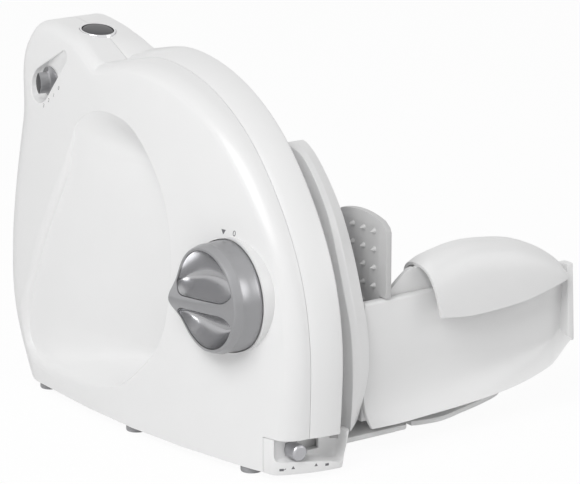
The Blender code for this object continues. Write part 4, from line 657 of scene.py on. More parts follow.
def ground_blade(name, colour):
    """Steel ground in rings about the blade's axis."""
    graph = Graph(name, colour, 0.22, 1.0)
    axis = (CORNER.x, BLADE_AXIS[0] + CORNER.y, BLADE_AXIS[1] + CORNER.z)
    arm = graph.node("ShaderNodeVectorMath", {"operation": "SUBTRACT"}, {0: graph.place(), 1: axis})
    flat = graph.node("ShaderNodeVectorMath", {"operation": "MULTIPLY"}, {0: arm, 1: (0, 1, 1)})
    reach = graph.node("ShaderNodeVectorMath", {"operation": "LENGTH"}, {0: flat}, "Value")
    lines = graph.node("ShaderNodeTexNoise", {"noise_dimensions": "1D"},
                       {"W": reach, "Scale": 2600, "Detail": 2.0})
    graph.tint(lines, colour, 0.90, 1.05)
    graph.put("Roughness", 0.17 + 0.13 * lines)
    graph.bump(lines, 0.000003)
    return graph.material


def winding(name, colour):
    """Enamelled wire in slots along the motor's axis."""
    graph = Graph(name, colour, 0.35, 0.9)
    wires = graph.node("ShaderNodeTexWave", {"bands_direction": "Y"},
                       {"Vector": graph.place(), "Scale": 400, "Distortion": 1.5, "Detail": 1.0})
    graph.tint(wires, colour, 0.55, 1.1)
    graph.bump(wires, 0.0001)
    return graph.material


def board(name, colour):
    """Circuit board with paler tracks."""
    graph = Graph(name, colour, 0.4)
    tracks = graph.node("ShaderNodeTexBrick", {},
                        {"Vector": graph.place(), "Scale": 90, "Mortar Size": 0.05}, 1)
    graph.tint(tracks, colour, 1.0, 2.2)
    graph.bump(tracks, 0.00002)
    return graph.material


def printed(name, colour):
    graph = Graph(name, colour, 0.45)
    cover = graph.noise(5200, 2)
    graph.tint(cover, colour, 0.85, 1.2)
    graph.put("Roughness", 0.4 + 0.1 * cover)
    return graph.material


MAKERS = {
    "white_plastic": lambda c: moulded("white_plastic", c.white, 0.30),
    # grey_plastic carries painted shade: its grey stands for the shade that the housing casts on the spiked
    # plate.
    "grey_plastic": lambda c: moulded("grey_plastic", c.grey, 0.40, 0.000008),
    "rubber": lambda c: rubber("rubber", c.rubber),
    "dark_plastic": lambda c: moulded("dark_plastic", c.dark, 0.42, 0.00001),
    "satin_silver": lambda c: lacquer("satin_silver", c.silver),
    "polished_silver": lambda c: metal("polished_silver", (0.46, 0.46, 0.47), 0.22, (8, 1, 1), 500, 0.000001),
    "chrome": lambda c: metal("chrome", (0.72, 0.72, 0.73), 0.07, (1, 1, 1), 60, 0.0000005),
    "steel": lambda c: metal("steel", (0.50, 0.50, 0.52), 0.28, (1, 1, 0.05), 1200),
    "blade_steel": lambda c: ground_blade("blade_steel", (0.66, 0.66, 0.68)),
    "copper": lambda c: winding("copper", (0.62, 0.28, 0.14)),
    "brass": lambda c: metal("brass", (0.66, 0.49, 0.22), 0.32, (0.05, 1, 1), 1100),
    "board_green": lambda c: board("board_green", (0.04, 0.20, 0.09)),
    "ink": lambda c: printed("ink", c.ink),
}


def finish(slot):
    """A material by its slot, made when it is first asked for."""
    made = bpy.data.materials.get("slicer_" + slot)
    if made is None:
        made = MAKERS[slot](bpy.context.scene.slicer_finishes)
        made.name = "slicer_" + slot
    return made


# Housing forms

def side_outline(steps):
    """The housing's side outline, as samples of point, outward normal, rim flare, edge radius and depth."""
    front = spline(FRONT_EDGE, steps)
    rear = spline(REAR_EDGE, steps)
    points = front + rear + [Vector(REAR_EDGE[-1])]
    last = len(points) - 1
    points += [points[last].lerp(points[0], k / 4) for k in range(1, 4)]
    samples = []
    for i, point in enumerate(points):
        tangent = points[(i + 1) % len(points)] - points[i - 1]
        if i == last:
            tangent = points[i] - points[i - 1]
        elif i == 0:
            tangent = points[1] - points[0]
        normal = Vector((-tangent.y, tangent.x)).normalized()
        flare, radius, depth = 0.0, FRONT_ROUND, FRONT_ROUND_DEPTH
        if i <= len(front):
            flare = RIM_FLARE * (0.45 + 0.55 * ease(i / len(front) / 0.35))
        elif i <= last:
            share = (i - len(front)) / len(rear)
            flare = RIM_FLARE * max(0.0, 1 - share / 0.10)
            low = ease((TOWER_HEAD_Z - point.y) / (TOWER_HEAD_Z - TOWER_FOOT_Z)) if share > 0.3 else 0.0
            radius = TOWER_ROUND + (REAR_ROUND - TOWER_ROUND) * low
            depth = radius
        else:
            normal = Vector((0.0, 0.0))
        samples.append((point, normal, flare, radius, depth))
    return samples


def left_form(inset, right_x, steps, arcs, shares):
    """The bowed left half of the housing, set in by a wall's thickness where that is given."""
    samples = side_outline(steps)
    rings = [[Vector((right_x, *(point - normal * inset))) for point, normal, *_ in samples]]
    for k in range(arcs + 1):
        angle = math.pi / 2 * k / arcs
        level = []
        for point, normal, _, radius, depth in samples:
            reach = max(radius - inset, WALL)
            spot = point - normal * (inset + reach * (1 - math.cos(angle)))
            face = face_x(*spot) + inset
            fall = min(max(depth - inset, WALL), 0.8 * (PART_X - face))
            level.append(Vector((face + fall * (1 - math.sin(angle)), *spot)))
        rings.append(level)
    edge = rings[-1]
    for k in range(1, shares + 1):
        level = []
        for point in edge:
            spot = Vector((point.y, point.z)).lerp(POLAR, 0.97 * k / shares)
            level.append(Vector((face_x(*spot) + inset, *spot)))
        rings.append(level)
    return loft(rings)


def right_form(inset, left_x, right_x, steps):
    """The right half of the housing with its flared rim."""
    round_x = right_x - 0.0025
    levels = [(left_x, 0.0, 0.0), (PART_X + 0.004, 0.45, 0.0), (round_x, 1.0, 0.0)]
    levels += [(right_x - 0.0012, 1.0, 0.0003), (right_x - 0.0004, 1.0, 0.0010), (right_x, 1.0, 0.0018)]
    rings = []
    for x, share, back in levels:
        rings.append([Vector((x, *(point + normal * (flare * share - back - inset))))
                      for point, normal, flare, *_ in side_outline(steps)])
    return loft(rings)


def chute_form(grow, steps, levels, crisp=0.0, soft=0.0):
    """The slice chute: from outside the left face, round its lip, down to its slanted floor."""
    edge = closed_spline(CHUTE_EDGE, steps)
    rows = []
    for i, point in enumerate(edge):
        tangent = edge[(i + 1) % len(edge)] - edge[i - 1]
        outward = Vector((tangent.y, -tangent.x)).normalized()
        height = min(max(point.y, CHUTE_SPINE[0][0]), CHUTE_SPINE[-1][0])
        target = Vector((between(CHUTE_SPINE, height), height))
        if (target - point).dot(outward) > 0:
            outward = -outward
        blend = ease((point.x - 0.10) / 0.08) * ease((0.185 - point.y) / 0.05)
        lip = crisp + (soft - crisp) * blend
        rows.append((point + outward * grow, target + outward * grow, outward, lip))
    rings = [[Vector((FACE_X - 0.02, *(point + outward * lip))) for point, _, outward, lip in rows]]
    if soft:
        for k in range(5):
            turn = math.pi / 2 * k / 5
            level = []
            for point, _, outward, lip in rows:
                spot = point + outward * lip * (1 - math.sin(turn))
                sunk = lip * (1 - math.cos(turn)) * 0.6 + 0.00002
                level.append(Vector((face_x(*spot) + grow + sunk, *spot)))
            rings.append(level)
    floor = CHUTE_FLOOR_X + grow
    for k in range(levels + 1):
        share = 0.92 * k / levels
        if soft and k == 0:
            continue
        sunk = 0.45 * share / 0.92 + 0.55 * ease(share / 0.92)
        level = []
        for point, target, _, lip in rows:
            start = face_x(*point) + grow + lip * 0.5 * (1 - share / 0.92)
            level.append(Vector((start + (floor - start) * sunk, *point.lerp(target, share))))
        rings.append(level)
    return loft(rings)


def window_form(grow, left_x, right_x):
    """The slanted way that the slices take behind the knob column."""
    def edge(x, side):
        return WINDOW_LEFT_Y[side] + (WINDOW_RIGHT_Y[side] - WINDOW_LEFT_Y[side]) * (x + 0.007) / 0.033
    outline = [
        (left_x, edge(left_x, 0) - grow), (right_x, edge(right_x, 0) - grow),
        (right_x, edge(right_x, 1) + grow), (left_x, edge(left_x, 1) + grow),
    ]
    return prism("Z", outline, WINDOW_Z[0] - grow, WINDOW_Z[1] + grow)


def teardrop(grow, fine):
    """Outline of the speed switch's recess, as points (y, z)."""
    big = Vector((SWITCH_AXIS[0] + 0.003, SWITCH_AXIS[1] - 0.002))
    heading = math.atan2(RECESS_TIP.y - big.y, RECESS_TIP.x - big.x)
    points = []
    for k in range(fine + 1):
        angle = heading + math.radians(80 + 200 * k / fine)
        points.append(big + Vector((math.cos(angle), math.sin(angle))) * (RECESS_RADIUS + grow))
    for k in range(fine // 2 + 1):
        angle = heading + math.radians(-80 + 160 * k / (fine // 2))
        points.append(RECESS_TIP + Vector((math.cos(angle), math.sin(angle))) * (RECESS_TIP_RADIUS + grow))
    return points


def sunk_form(outline, floor_x, lip, fillet):
    """A cutter with a lip that follows the bowed face and a filleted floor; outline(grow) gives (y, z)."""
    rings = [[Vector((FACE_X - 0.02, *p)) for p in outline(lip)]]
    for k in range(5):
        turn = math.pi / 2 * k / 4
        rings.append([Vector((face_x(*p) + lip * (1 - math.cos(turn)) + 0.00002, *p))
                      for p in outline(lip * (1 - math.sin(turn)))])
    for k in range(5):
        turn = math.pi / 2 * k / 4
        back = fillet * (1 - math.sin(turn))
        level = []
        for p, rim in zip(outline(-fillet * (1 - math.cos(turn))), outline(0.0)):
            lowest = face_x(*rim) + lip + 0.0001
            level.append(Vector((max(floor_x - back, lowest + 0.0001 * k), *p)))
        rings.append(level)
    return loft(rings)


def block_space(grow):
    """Room for the base's front block under the housing."""
    left = BLOCK_PLAN[0][0] - grow
    return slab((left, -0.040, -0.010), (0.060, BLOCK_BACK_Y + grow, BLOCK_TOP_Z + grow))


def link_space():
    return slab((-0.0100 - GAP, -0.0060, -0.010), (0.0200 + GAP, 0.0015, BASE_TOP_Z + GAP))


def button_hole():
    outer = BUTTON_RADIUS + BUTTON_RING + 2 * GAP
    return disc("Z", BUTTON_AXIS, outer, BUTTON_FOOT_Z - 0.010, 0.260)


def shell_screws():
    """Axis (y, z) of each screw that holds the two shells together."""
    return [centre_of(node, "X") for node in ("shell_screw_top", "shell_screw_rear")]


def build_left_housing():
    shape = bpy.context.scene.slicer_shapes
    shell = cut_level(left_form(0.0, PART_X, 10, 10, 16), BOTTOM_Z)
    pad = disc("X", KNOB_AXIS, KNOB_RADIUS + 0.0020, POCKET_X - 0.0005, PART_X - 0.0115, 144)
    carve(shell, pad, "UNION")
    room = cut_level(left_form(WALL, PART_X + 0.001, 2, 2, 2), BOTTOM_Z - 0.001)
    carve(room, chute_form(WALL, 2, 4, shape.chute_crisp, shape.chute_soft))
    carve(room, window_form(WALL, CHUTE_FLOOR_X - 0.012, 0.020))
    carve(room, prism("X", teardrop(WALL, 12), FACE_X, SWITCH_FLOOR_X + WALL))
    carve(room, disc("X", KNOB_AXIS, KNOB_RADIUS + 0.0006 + WALL, FACE_X, POCKET_X + WALL, 40))
    carve(room, block_space(GAP + WALL))
    carve(shell, room)
    carve(shell, chute_form(0.0, 9, 26, shape.chute_crisp, shape.chute_soft))
    carve(shell, window_form(0.0, CHUTE_FLOOR_X - 0.0015, 0.020))
    carve(shell, sunk_form(lambda grow: teardrop(grow, 28), SWITCH_FLOOR_X, 0.0006, 0.0022))
    carve(shell, disc("X", KNOB_AXIS, KNOB_RADIUS + 0.0006, FACE_X - 0.001, POCKET_X, 144))
    carve(shell, block_space(GAP))
    carve(shell, joined([
        button_hole(), link_space(),
        disc("X", KNOB_AXIS, 0.0055, POCKET_X - 0.002, POCKET_X + 0.006, 48),
        disc("X", SWITCH_AXIS, 0.0025 + RUN, SWITCH_FLOOR_X - 0.002, SWITCH_FLOOR_X + 0.006, 32),
    ]))
    settle(shell, "left_housing", "housing", "white_plastic", ["housing_left_shell"], 28)


def build_right_housing():
    bore = BUSH_RADIUS + GAP
    shell = cut_level(right_form(0.0, PART_X + GAP, RIM_X, 10), BOTTOM_Z)
    carve(shell, disc("X", BLADE_AXIS, DRUM_RADIUS, RIM_X - 0.001, DRUM_X), "UNION")
    foot = carve(block_space(GAP), link_space(), "UNION")
    arm = slab((0.0215, 0.010 - GAP, -0.010), (0.040, 0.225 + GAP, BASE_TOP_Z + GAP))
    tools = [window_form(0.0, -0.005, 0.045), foot, arm, button_hole()]
    tools.append(disc("X", KNOB_AXIS, 0.008 + RUN, 0.010, 0.032, 48))
    for node in ("guide_rod_upper", "guide_rod_lower"):
        tools.append(disc("X", centre_of(node, "X"), 0.0035 + RUN, 0.010, 0.032, 32))
    for place in shell_screws():
        tools.append(disc("X", place, 0.0032 + GAP, RIM_X - 0.0035, 0.034, 32))
    tools.append(disc("Y", centre_of("cable_bush", "Y"), 0.0045 + GAP, 0.240, 0.280, 32))
    carve(shell, joined(tools))
    room = cut_level(right_form(WALL, PART_X - 0.001, RIM_X - 0.002, 3), BOTTOM_Z - 0.001)
    carve(room, window_form(WALL, -0.005, 0.040))
    carve(room, block_space(GAP + WALL))
    carve(room, disc("X", BLADE_AXIS, bore + WALL + 0.001, 0.012, 0.040, 48))
    carve(shell, room)
    carve(shell, joined([
        ring("X", BLADE_AXIS, bore + WALL, DRUM_RADIUS - WALL, RIM_X - 0.004, DRUM_X - WALL, 64),
        disc("X", BLADE_AXIS, bore, 0.005, DRUM_X + 0.002, 48),
    ]))
    settle(shell, "right_housing", "housing", "white_plastic", ["housing_right_shell"], 28)


# Base, deck and feet

def block_plan():
    """The outline of the base's front block, seen from above."""
    return [tuple(p) for p in spline(BLOCK_PLAN[:7], 4)] + BLOCK_PLAN[6:]


def lock_scoop():
    """The scooped recess in the block's front that the lock stud stands in."""
    above = BLOCK_TOP_Z + 0.012
    outline = [Vector((SCOOP_EDGE[0][0], above))] + spline(SCOOP_EDGE, 6)
    outline += [Vector(SCOOP_EDGE[-1]), Vector((SCOOP_EDGE[-1][0], above))]
    middle = Vector((0.0083, 0.0190))
    rings = []
    for y, shrink in ((-0.040, 0.0), (-0.0125, 0.0), (-0.0112, 0.03), (-0.0103, 0.08), (-0.0096, 0.14),
                      (-0.0092, 0.20), (LOCK_FLOOR_Y, 0.30)):
        rings.append([Vector((p.lerp(middle, shrink).x, y, p.lerp(middle, shrink * 0.8).y)) for p in outline])
    return loft(rings)


def screw_hole(node):
    return turned("Z", centre_of(node, "Z"), [(0.0, -0.002), (0.0035, -0.002), (0.0035, 0.0062),
                                              (0.0018, 0.0062), (0.0018, 0.010), (0.0, 0.010)], 32)


def build_base():
    places = [0.0004 + 0.2040 * k / 40 for k in range(41)]
    left = [(face_x(y, BOTTOM_Z) + WALL + 0.0010, y) for y in places]
    corner = circle(0.0200, 96, (-0.0165, 0.2155))
    arc = [corner[k] for k in range(48, 23, -1)]
    outline = left + arc + [
        (0.0237, 0.2378), (0.0237, 0.225), (0.090, 0.225), (0.090, 0.010), (0.0237, 0.010),
        (0.0237, 0.0004), (0.0200, 0.0004), (0.0200, -0.0040), (-0.0100, -0.0040), (-0.0100, 0.0004),
    ]
    base = prism("Z", outline, BOTTOM_Z, BASE_TOP_Z)
    rings = []
    for z, lean in zip((BOTTOM_Z - 0.0002, BLOCK_TOP_Z), BLOCK_LEAN):
        rings.append([Vector((x + lean * (x > 0.028), y, z)) for x, y in block_plan()])
    carve(base, soften(loft(rings), 0.0004, 50), "UNION")
    carve(base, lock_scoop())
    carve(base, slab((0.0274, -0.0132, 0.0184), (0.050, 0.004, 0.040)))
    carve(base, slab((LOCK_X - 0.0063, -0.0070, LOCK_Z - 0.0045), (LOCK_X + 0.0223, 0.010, LOCK_Z + 0.0045)))
    side = PIN_NECK_RADIUS + GAP
    carve(base, slab((LOCK_X - side, LOCK_FLOOR_Y - 0.002, LOCK_Z - side),
                     (LOCK_X + 0.016 + side, -0.0065, LOCK_Z + side)))
    screws = ("base_screw_left_front", "base_screw_left_rear", "base_screw_right_rear")
    carve(base, joined([screw_hole(node) for node in screws]))
    settle(base, "base_plate", "housing", "white_plastic", ["base_frame"], 30)


def build_deck():
    left, right = DECK_LEFT, 0.0925
    front, rear = 0.0, 0.230
    round_left = circle(0.006, 48, (left + 0.006, front + 0.006))
    edge = [round_left[k] for k in range(24, 37)]
    edge += [(right - 0.002, front), (right, front + 0.002), (right, 0.0140), (0.0965, 0.0140)]
    edge += [tuple(p) for p in spline(WING_EDGE, 8)] + [WING_EDGE[-1], (right, 0.1335)]
    edge += [circle(0.006, 48, (right - 0.006, rear - 0.006))[k] for k in range(13)]
    edge += [circle(0.006, 48, (left + 0.006, rear - 0.006))[k] for k in range(12, 25)]
    deck = soften(prism("Z", edge, BASE_TOP_Z + GAP, DECK_TOP_Z), 0.0006, 50)
    rail = slab((RAIL_X - RAIL_HALF, front + 0.004, DECK_TOP_Z - 0.001),
                (RAIL_X + RAIL_HALF, rear - 0.004, RAIL_TOP_Z))
    carve(deck, rail, "UNION")
    settle(deck, "deck_plate", "housing", "white_plastic", ["carriage_deck"], 30)


def build_feet():
    """Ribbed rubber feet, one for each foot of the frame."""
    for node in [name for name in frame["nodes"] if name.startswith("foot_")]:
        low, high = span(node)
        radius = (high.x - low.x) / 2
        profile = [(0.0, 0.0006), (radius - 0.0022, 0.0006), (radius - 0.0018, 0.0), (radius - 0.0008, 0.0),
                   (radius - 0.0002, 0.0002), (radius, 0.0008), (radius, high.z - 0.0004),
                   (radius - 0.0004, high.z), (0.0, high.z)]
        foot = turned("Z", centre_of(node, "Z"), profile, 64)
        settle(foot, "rubber_" + node, "housing", "rubber", [node], 40)


# Stop plate

def build_stop_plate():
    left = spline(PLATE_LEFT_EDGE, 8) + [Vector(PLATE_LEFT_EDGE[-1])]
    right = spline(PLATE_RIGHT_EDGE, 8) + [Vector(PLATE_RIGHT_EDGE[-1])]
    radius = BLADE_RADIUS + PLATE_CLEAR
    low = math.asin((BLADE_AXIS[1] - PLATE_LEFT_EDGE[-1][1]) / radius)
    high = math.acos((BLADE_AXIS[0] - PLATE_LEFT_EDGE[0][0]) / radius)
    arc = []
    for k in range(65):
        turn = -low + (low + high) * k / 64
        arc.append(Vector((BLADE_AXIS[0] - radius * math.cos(turn),
                           BLADE_AXIS[1] + radius * math.sin(turn))))
    rings = []
    shares = [PLATE_RIDGE * k / 5 for k in range(6)]
    shares += [PLATE_RIDGE + (1 - PLATE_RIDGE) * k / 9 for k in range(1, 10)]
    for share in shares:
        tent = share / PLATE_RIDGE if share < PLATE_RIDGE else (1 - share) / (1 - PLATE_RIDGE)
        edge = [a.lerp(b, share) for a, b in zip(left, right)]
        level = []
        for i, point in enumerate(edge):
            tangent = edge[min(i + 1, len(edge) - 1)] - edge[max(i - 1, 0)]
            outward = Vector((tangent.y, -tangent.x)).normalized()
            if outward.x > 0:
                outward = -outward
            lift = PLATE_BULGE * tent * math.sin(math.pi * min(i / 20, 1.0) / 2)
            level.append(point + outward * lift * (i < len(edge) - 1))
        x = PLATE_X + (BLADE_FACE_X - PLATE_X) * share
        rings.append([Vector((x, *point)) for point in level + arc])
    plate = soften(loft(rings), 0.0007, 40, 3)
    settle(plate, "slice_stop", "stop_plate", "white_plastic", ["stop_plate"], 35)


# Thickness knob

def bar_centre(y):
    """Height of the tilted grip bar's middle line at a place across the knob."""
    return BAR_Z - math.tan(BAR_TILT) * y


def scoop_outline(side, grow):
    """A scoop's edge by the bar and its edge by the rim (z), at a place across the knob."""
    half = bpy.context.scene.slicer_shapes.bar_half

    def limits(y):
        round_off = 0.0060 * max(0.0, (abs(y) - 0.0150) / 0.0130) ** 2.4
        near = bar_centre(y) + side * (half + round_off - grow)
        far = side * math.sqrt(max((SCOOP_RADIUS + grow) ** 2 - y * y, 0.0))
        return near, far
    return limits


def scoop_span(limits, side, inset):
    """Middle and half the width of a scoop, from the two places at which its edges meet."""
    ends = []
    for way in (-1, 1):
        low, high = 0.0, SCOOP_RADIUS
        for _ in range(40):
            middle = (low + high) / 2
            near, far = limits(way * middle)
            if side * (far - near) > 0:
                low = middle
            else:
                high = middle
        ends.append(way * (low - inset))
    return (ends[0] + ends[1]) / 2, (ends[1] - ends[0]) / 2


def knob_front(y, z):
    """The knob's front between its ring and the proud grip bar, before the scoops."""
    crest = along(BAR_CREST, y)
    rise = math.exp(-((z - bar_centre(y)) / 0.0085) ** 2)
    return KNOB_FRONT_X + (crest - KNOB_FRONT_X) * rise


def knob_point(x, y, z):
    return Vector((x, KNOB_AXIS[0] + y, KNOB_AXIS[1] + z))


def build_knob():
    shape = bpy.context.scene.slicer_shapes
    profile = [(KNOB_RADIUS, KNOB_BACK_X), (KNOB_RADIUS, KNOB_BACK_X - 0.003),
               (KNOB_RADIUS - 0.0003, KNOB_BACK_X - 0.007), (KNOB_RADIUS - 0.0009, KNOB_BACK_X - 0.012),
               (KNOB_FRONT_RADIUS + 0.0016, KNOB_FRONT_X + 0.0050),
               (KNOB_FRONT_RADIUS + 0.0007, KNOB_FRONT_X + 0.0018)]
    rings = [[knob_point(x, *p) for p in circle(radius, 160)] for radius, x in profile]
    for radius, back in ((KNOB_FRONT_RADIUS + 0.0002, 0.0005), (KNOB_FRONT_RADIUS - 0.0005, 0.0),
                         *[(KNOB_FRONT_RADIUS * (1 - k / 24), 0.0) for k in range(1, 24)]):
        rings.append([knob_point(knob_front(*p) + back, *p) for p in circle(radius, 160)])
    grip = loft(rings)
    for side in (1, -1):
        limits = scoop_outline(side, 0.0)
        centre, width = scoop_span(limits, side, 0.0001)
        places = [centre - width * math.cos(math.pi * k / 48) for k in range(49)]
        outline = [Vector((y, limits(y)[0])) for y in places]
        outline += [Vector((y, limits(y)[1])) for y in reversed(places[1:-1])]
        carve(grip, loft([[knob_point(x, *p) for p in outline] for x in (-0.060, -0.0215)]))
    soften(grip, 0.00045, 50, 3)
    carve(grip, disc("X", KNOB_AXIS, 0.0043, KNOB_BACK_X - 0.0055, KNOB_BACK_X + 0.004, 40))
    settle(grip, "knob_grip", "knob", "satin_silver", ["knob_body"], 32)
    for name, side in (("upper", 1), ("lower", -1)):
        limits = scoop_outline(side, -GAP)
        centre, width = scoop_span(limits, side, 0.0002)
        columns = []
        for k in range(61):
            y = centre - width * math.cos(math.pi * k / 60)
            near, far = limits(y)
            across = math.sqrt(max(1 - ((y - centre) / width) ** 2, 0.0))
            front = []
            for m in range(41):
                share = m / 40
                z = near + (far - near) * share
                fall = math.sin(math.pi / 2 * min(share / SCOOP_DEEPEST, 1.0)) ** 0.8
                past = max(0.0, share - SCOOP_DEEPEST) / (1 - SCOOP_DEEPEST)
                rise = max(math.cos(math.pi / 2 * past), 0.0) ** 0.9
                depth = shape.scoop_depth * fall * rise * across ** 0.7
                front.append(knob_point(min(knob_front(y, z) + 0.0005 + depth, -0.0226), y, z))
            back = [knob_point(-0.0218, y, near + (far - near) * m / 6) for m in range(6, -1, -1)]
            columns.append(front + back)
        scoop = loft(columns)
        settle(scoop, f"knob_scoop_{name}", "knob", "polished_silver", [f"knob_insert_{name}"], 50)


# Controls on the tower

def build_speed_lever():
    steps = 72
    foot = SWITCH_FLOOR_X - GAP
    base = circle(0.0095, steps)
    leaf = [(0.0029 * math.copysign(abs(y) ** 1.5, y), 0.00675 * z) for y, z in circle(1.0, steps)]
    rings = []
    for share, drop in ((0.0, 0.0), (0.0, 0.0010), (0.50, 0.0013), (0.85, 0.0022), (0.95, 0.0035),
                        (0.98, 0.0080), (1.0, 0.0089)):
        rings.append([Vector((foot - drop, SWITCH_AXIS[0] + a[0] + (b[0] - a[0]) * share,
                              SWITCH_AXIS[1] + a[1] + (b[1] - a[1]) * share)) for a, b in zip(base, leaf)])
    lever = loft(rings)
    carve(lever, disc("X", SWITCH_AXIS, 0.0025, SWITCH_FLOOR_X - 0.001, SWITCH_FLOOR_X + 0.0085, 40), "UNION")
    settle(lever, "speed_lever", "speed_switch", "satin_silver", ["speed_switch"], 40)
    rings = []
    for size, drop in ((0.97, 0.0086), (0.97, 0.0090), (0.88, 0.0092)):
        rings.append([Vector((foot - drop, SWITCH_AXIS[0] + size * b[0], SWITCH_AXIS[1] + size * b[1]))
                      for b in leaf])
    settle(loft(rings), "speed_lever_face", "speed_switch", "dark_plastic")


def sloped(z, y):
    """A height on the sloped top of the safety button."""
    return z + BUTTON_SLOPE * (y - BUTTON_AXIS[1])


def build_button():
    rings = [[Vector((x, y, BUTTON_FOOT_Z)) for x, y in circle(BUTTON_RADIUS, 96, BUTTON_AXIS)]]
    for shrink, lift in ((0.0, -0.0006), (0.0002, -0.0001), (0.0006, 0.0002), (0.0012, 0.0005),
                         (0.0030, 0.0009), (0.0055, 0.0011), (0.0080, 0.0012)):
        rings.append([Vector((x, y, sloped(BUTTON_TOP_Z + lift, y)))
                      for x, y in circle(BUTTON_RADIUS - shrink, 96, BUTTON_AXIS)])
    cap = loft(rings)
    low, _ = span("safety_button")
    carve(cap, disc("Z", BUTTON_AXIS, 0.0015, low.z, BUTTON_FOOT_Z + 0.002, 32), "UNION")
    settle(cap, "button_cap", "safety_button", "dark_plastic", ["safety_button"], 35)
    inner = BUTTON_RADIUS + RUN
    outer = inner + BUTTON_RING
    profile = ((inner, -0.006), (outer, -0.006), (outer, 0.0001), (outer - 0.00015, 0.0004),
               (outer - 0.0004, 0.0006), (outer - 0.0007, 0.0006), (inner + 0.0002, 0.0005), (inner, 0.0003))
    rim = turned("Z", BUTTON_AXIS, [(radius, BUTTON_TOP_Z + lift) for radius, lift in profile], 96)
    for vert in rim.data.vertices:
        vert.co.z = sloped(vert.co.z, vert.co.y)
    settle(rim, "button_rim", "housing", "chrome", ["button_ring"], 40)


def build_spring():
    """The coil under the safety button."""
    low, high = span("button_spring")
    height = high.z - low.z
    steps = 24 * SPRING_TURNS
    rings = []
    for k in range(steps + 1):
        turn = 2 * math.pi * k / 24
        outward = Vector((math.cos(turn), math.sin(turn), 0.0))
        rise = low.z + SPRING_WIRE + (height - 2 * SPRING_WIRE) * k / steps
        centre = Vector((*BUTTON_AXIS, rise)) + outward * ((high.x - low.x) / 2 - SPRING_WIRE)
        rings.append([centre + SPRING_WIRE * (outward * out + Vector((0, 0, up)))
                      for out, up in circle(1.0, 10)])
    coil = settle(loft(rings), "button_coil", "housing", "steel", ["button_spring"], 40)
    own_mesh(coil)


def build_lock():
    low, high = span("lock_pin")
    chamfer = 0.0010
    shoulder = LOCK_FLOOR_Y - 0.0005
    profile = [(0.0, low.y), (PIN_RADIUS - chamfer - 0.0002, low.y), (PIN_RADIUS - chamfer, low.y + 0.0001),
               (PIN_RADIUS - 0.0001, low.y + chamfer - 0.0001), (PIN_RADIUS, low.y + chamfer + 0.0001),
               (PIN_RADIUS, shoulder), (PIN_NECK_RADIUS, shoulder), (PIN_NECK_RADIUS, high.y), (0.0, high.y)]
    stud = turned("Y", (LOCK_X, LOCK_Z), profile, 96)
    settle(stud, "lock_stud", "lock", "steel", ["lock_pin"], 25)


# Carriage and food holder

def carriage_section(x):
    """The carriage's closed outline (y, z) at a place along its length."""
    share = max(0.0, (x - 0.110) / (CARRIAGE_RIGHT - 0.110))
    low = along(SKIRT_FOOT, x)
    front = 0.0024 * share
    crease = max(along(CREASE, x), low + 0.0080)
    flare = min(max(along(FLARE, x), low + 0.0055), crease - 0.0020)
    floor = low + 0.0045
    start = Vector((front + 0.0003, flare))
    control = Vector((front, low + 0.42 * (flare - low)))
    end = Vector((-0.0085, low))
    outer = [Vector((front, crease))]
    for k in range(21):
        t = k / 20
        outer.append(start * (1 - t) ** 2 + control * 2 * t * (1 - t) + end * t * t)
    back = WALL_THICK
    top = Vector((front + SKIN, max(flare - 0.004, low + 0.0040)))
    bend = Vector((front + SKIN, low + 0.42 * (top.y - low)))
    foot = end + Vector((SKIN, 0.0))
    inner = []
    for k in range(12):
        t = 1 - k / 12
        point = top * (1 - t) ** 2 + bend * 2 * t * (1 - t) + foot * t * t
        inner.append(Vector((min(point.x, back - SKIN - 0.0012 + 0.0001 * k), point.y)))
    under = floor - 0.003
    points = [Vector((front + 0.0016, WALL_TOP_Z)), Vector((front + 0.0008, WALL_TOP_Z - 0.0003)),
              Vector((front + 0.0002, WALL_TOP_Z - 0.0009)), Vector((front, WALL_TOP_Z - 0.0017))]
    points += outer + inner
    rest = [(back - SKIN, top.y - 0.0008), (back - SKIN, under), (FLOOR_REAR_Y, under), (FLOOR_REAR_Y, floor),
            (back, floor), (back, WALL_TOP_Z - 0.0005), (back - 0.0005, WALL_TOP_Z)]
    return points + [Vector(point) for point in rest]


def build_carriage():
    stations = [CARRIAGE_LEFT + (CARRIAGE_RIGHT - CARRIAGE_LEFT) * k / 40 for k in range(41)]
    tray = loft([[Vector((x, *point)) for point in carriage_section(x)] for x in stations])
    soften(tray, 0.0004, 65, 2)
    flange = [(-0.0060, 0.0440), (-0.0030, WALL_TOP_Z), (WALL_THICK, WALL_TOP_Z), (WALL_THICK, 0.0720),
              (0.0120, 0.0620), (0.0300, 0.0560), (FLOOR_REAR_Y, 0.0520), (FLOOR_REAR_Y, 0.0440)]
    carve(tray, soften(prism("X", flange, CARRIAGE_RIGHT - 0.0006, FLANGE_X), 0.0006, 30, 3), "UNION")
    shoes = []
    slots = []
    for front, rear in ((0.008, 0.030), (0.075, 0.097)):
        shoes.append(slab((RAIL_X - 0.0048, front, DECK_TOP_Z + RUN), (RAIL_X + 0.0048, rear, 0.0195)))
        slots.append(slab((RAIL_X - RAIL_HALF - RUN, front - 0.002, 0.0105),
                          (RAIL_X + RAIL_HALF + RUN, rear + 0.002, RAIL_TOP_Z + RUN)))
    carve(tray, joined(shoes), "UNION")
    carve(tray, joined(slots))
    settle(tray, "carriage_tray", "carriage", "white_plastic", ["carriage"], 32)


def dome_shares(count):
    """Stations along the hand guard, closer together at its ends."""
    return [0.5 - 0.5 * math.cos(math.pi * k / count) for k in range(count + 1)]


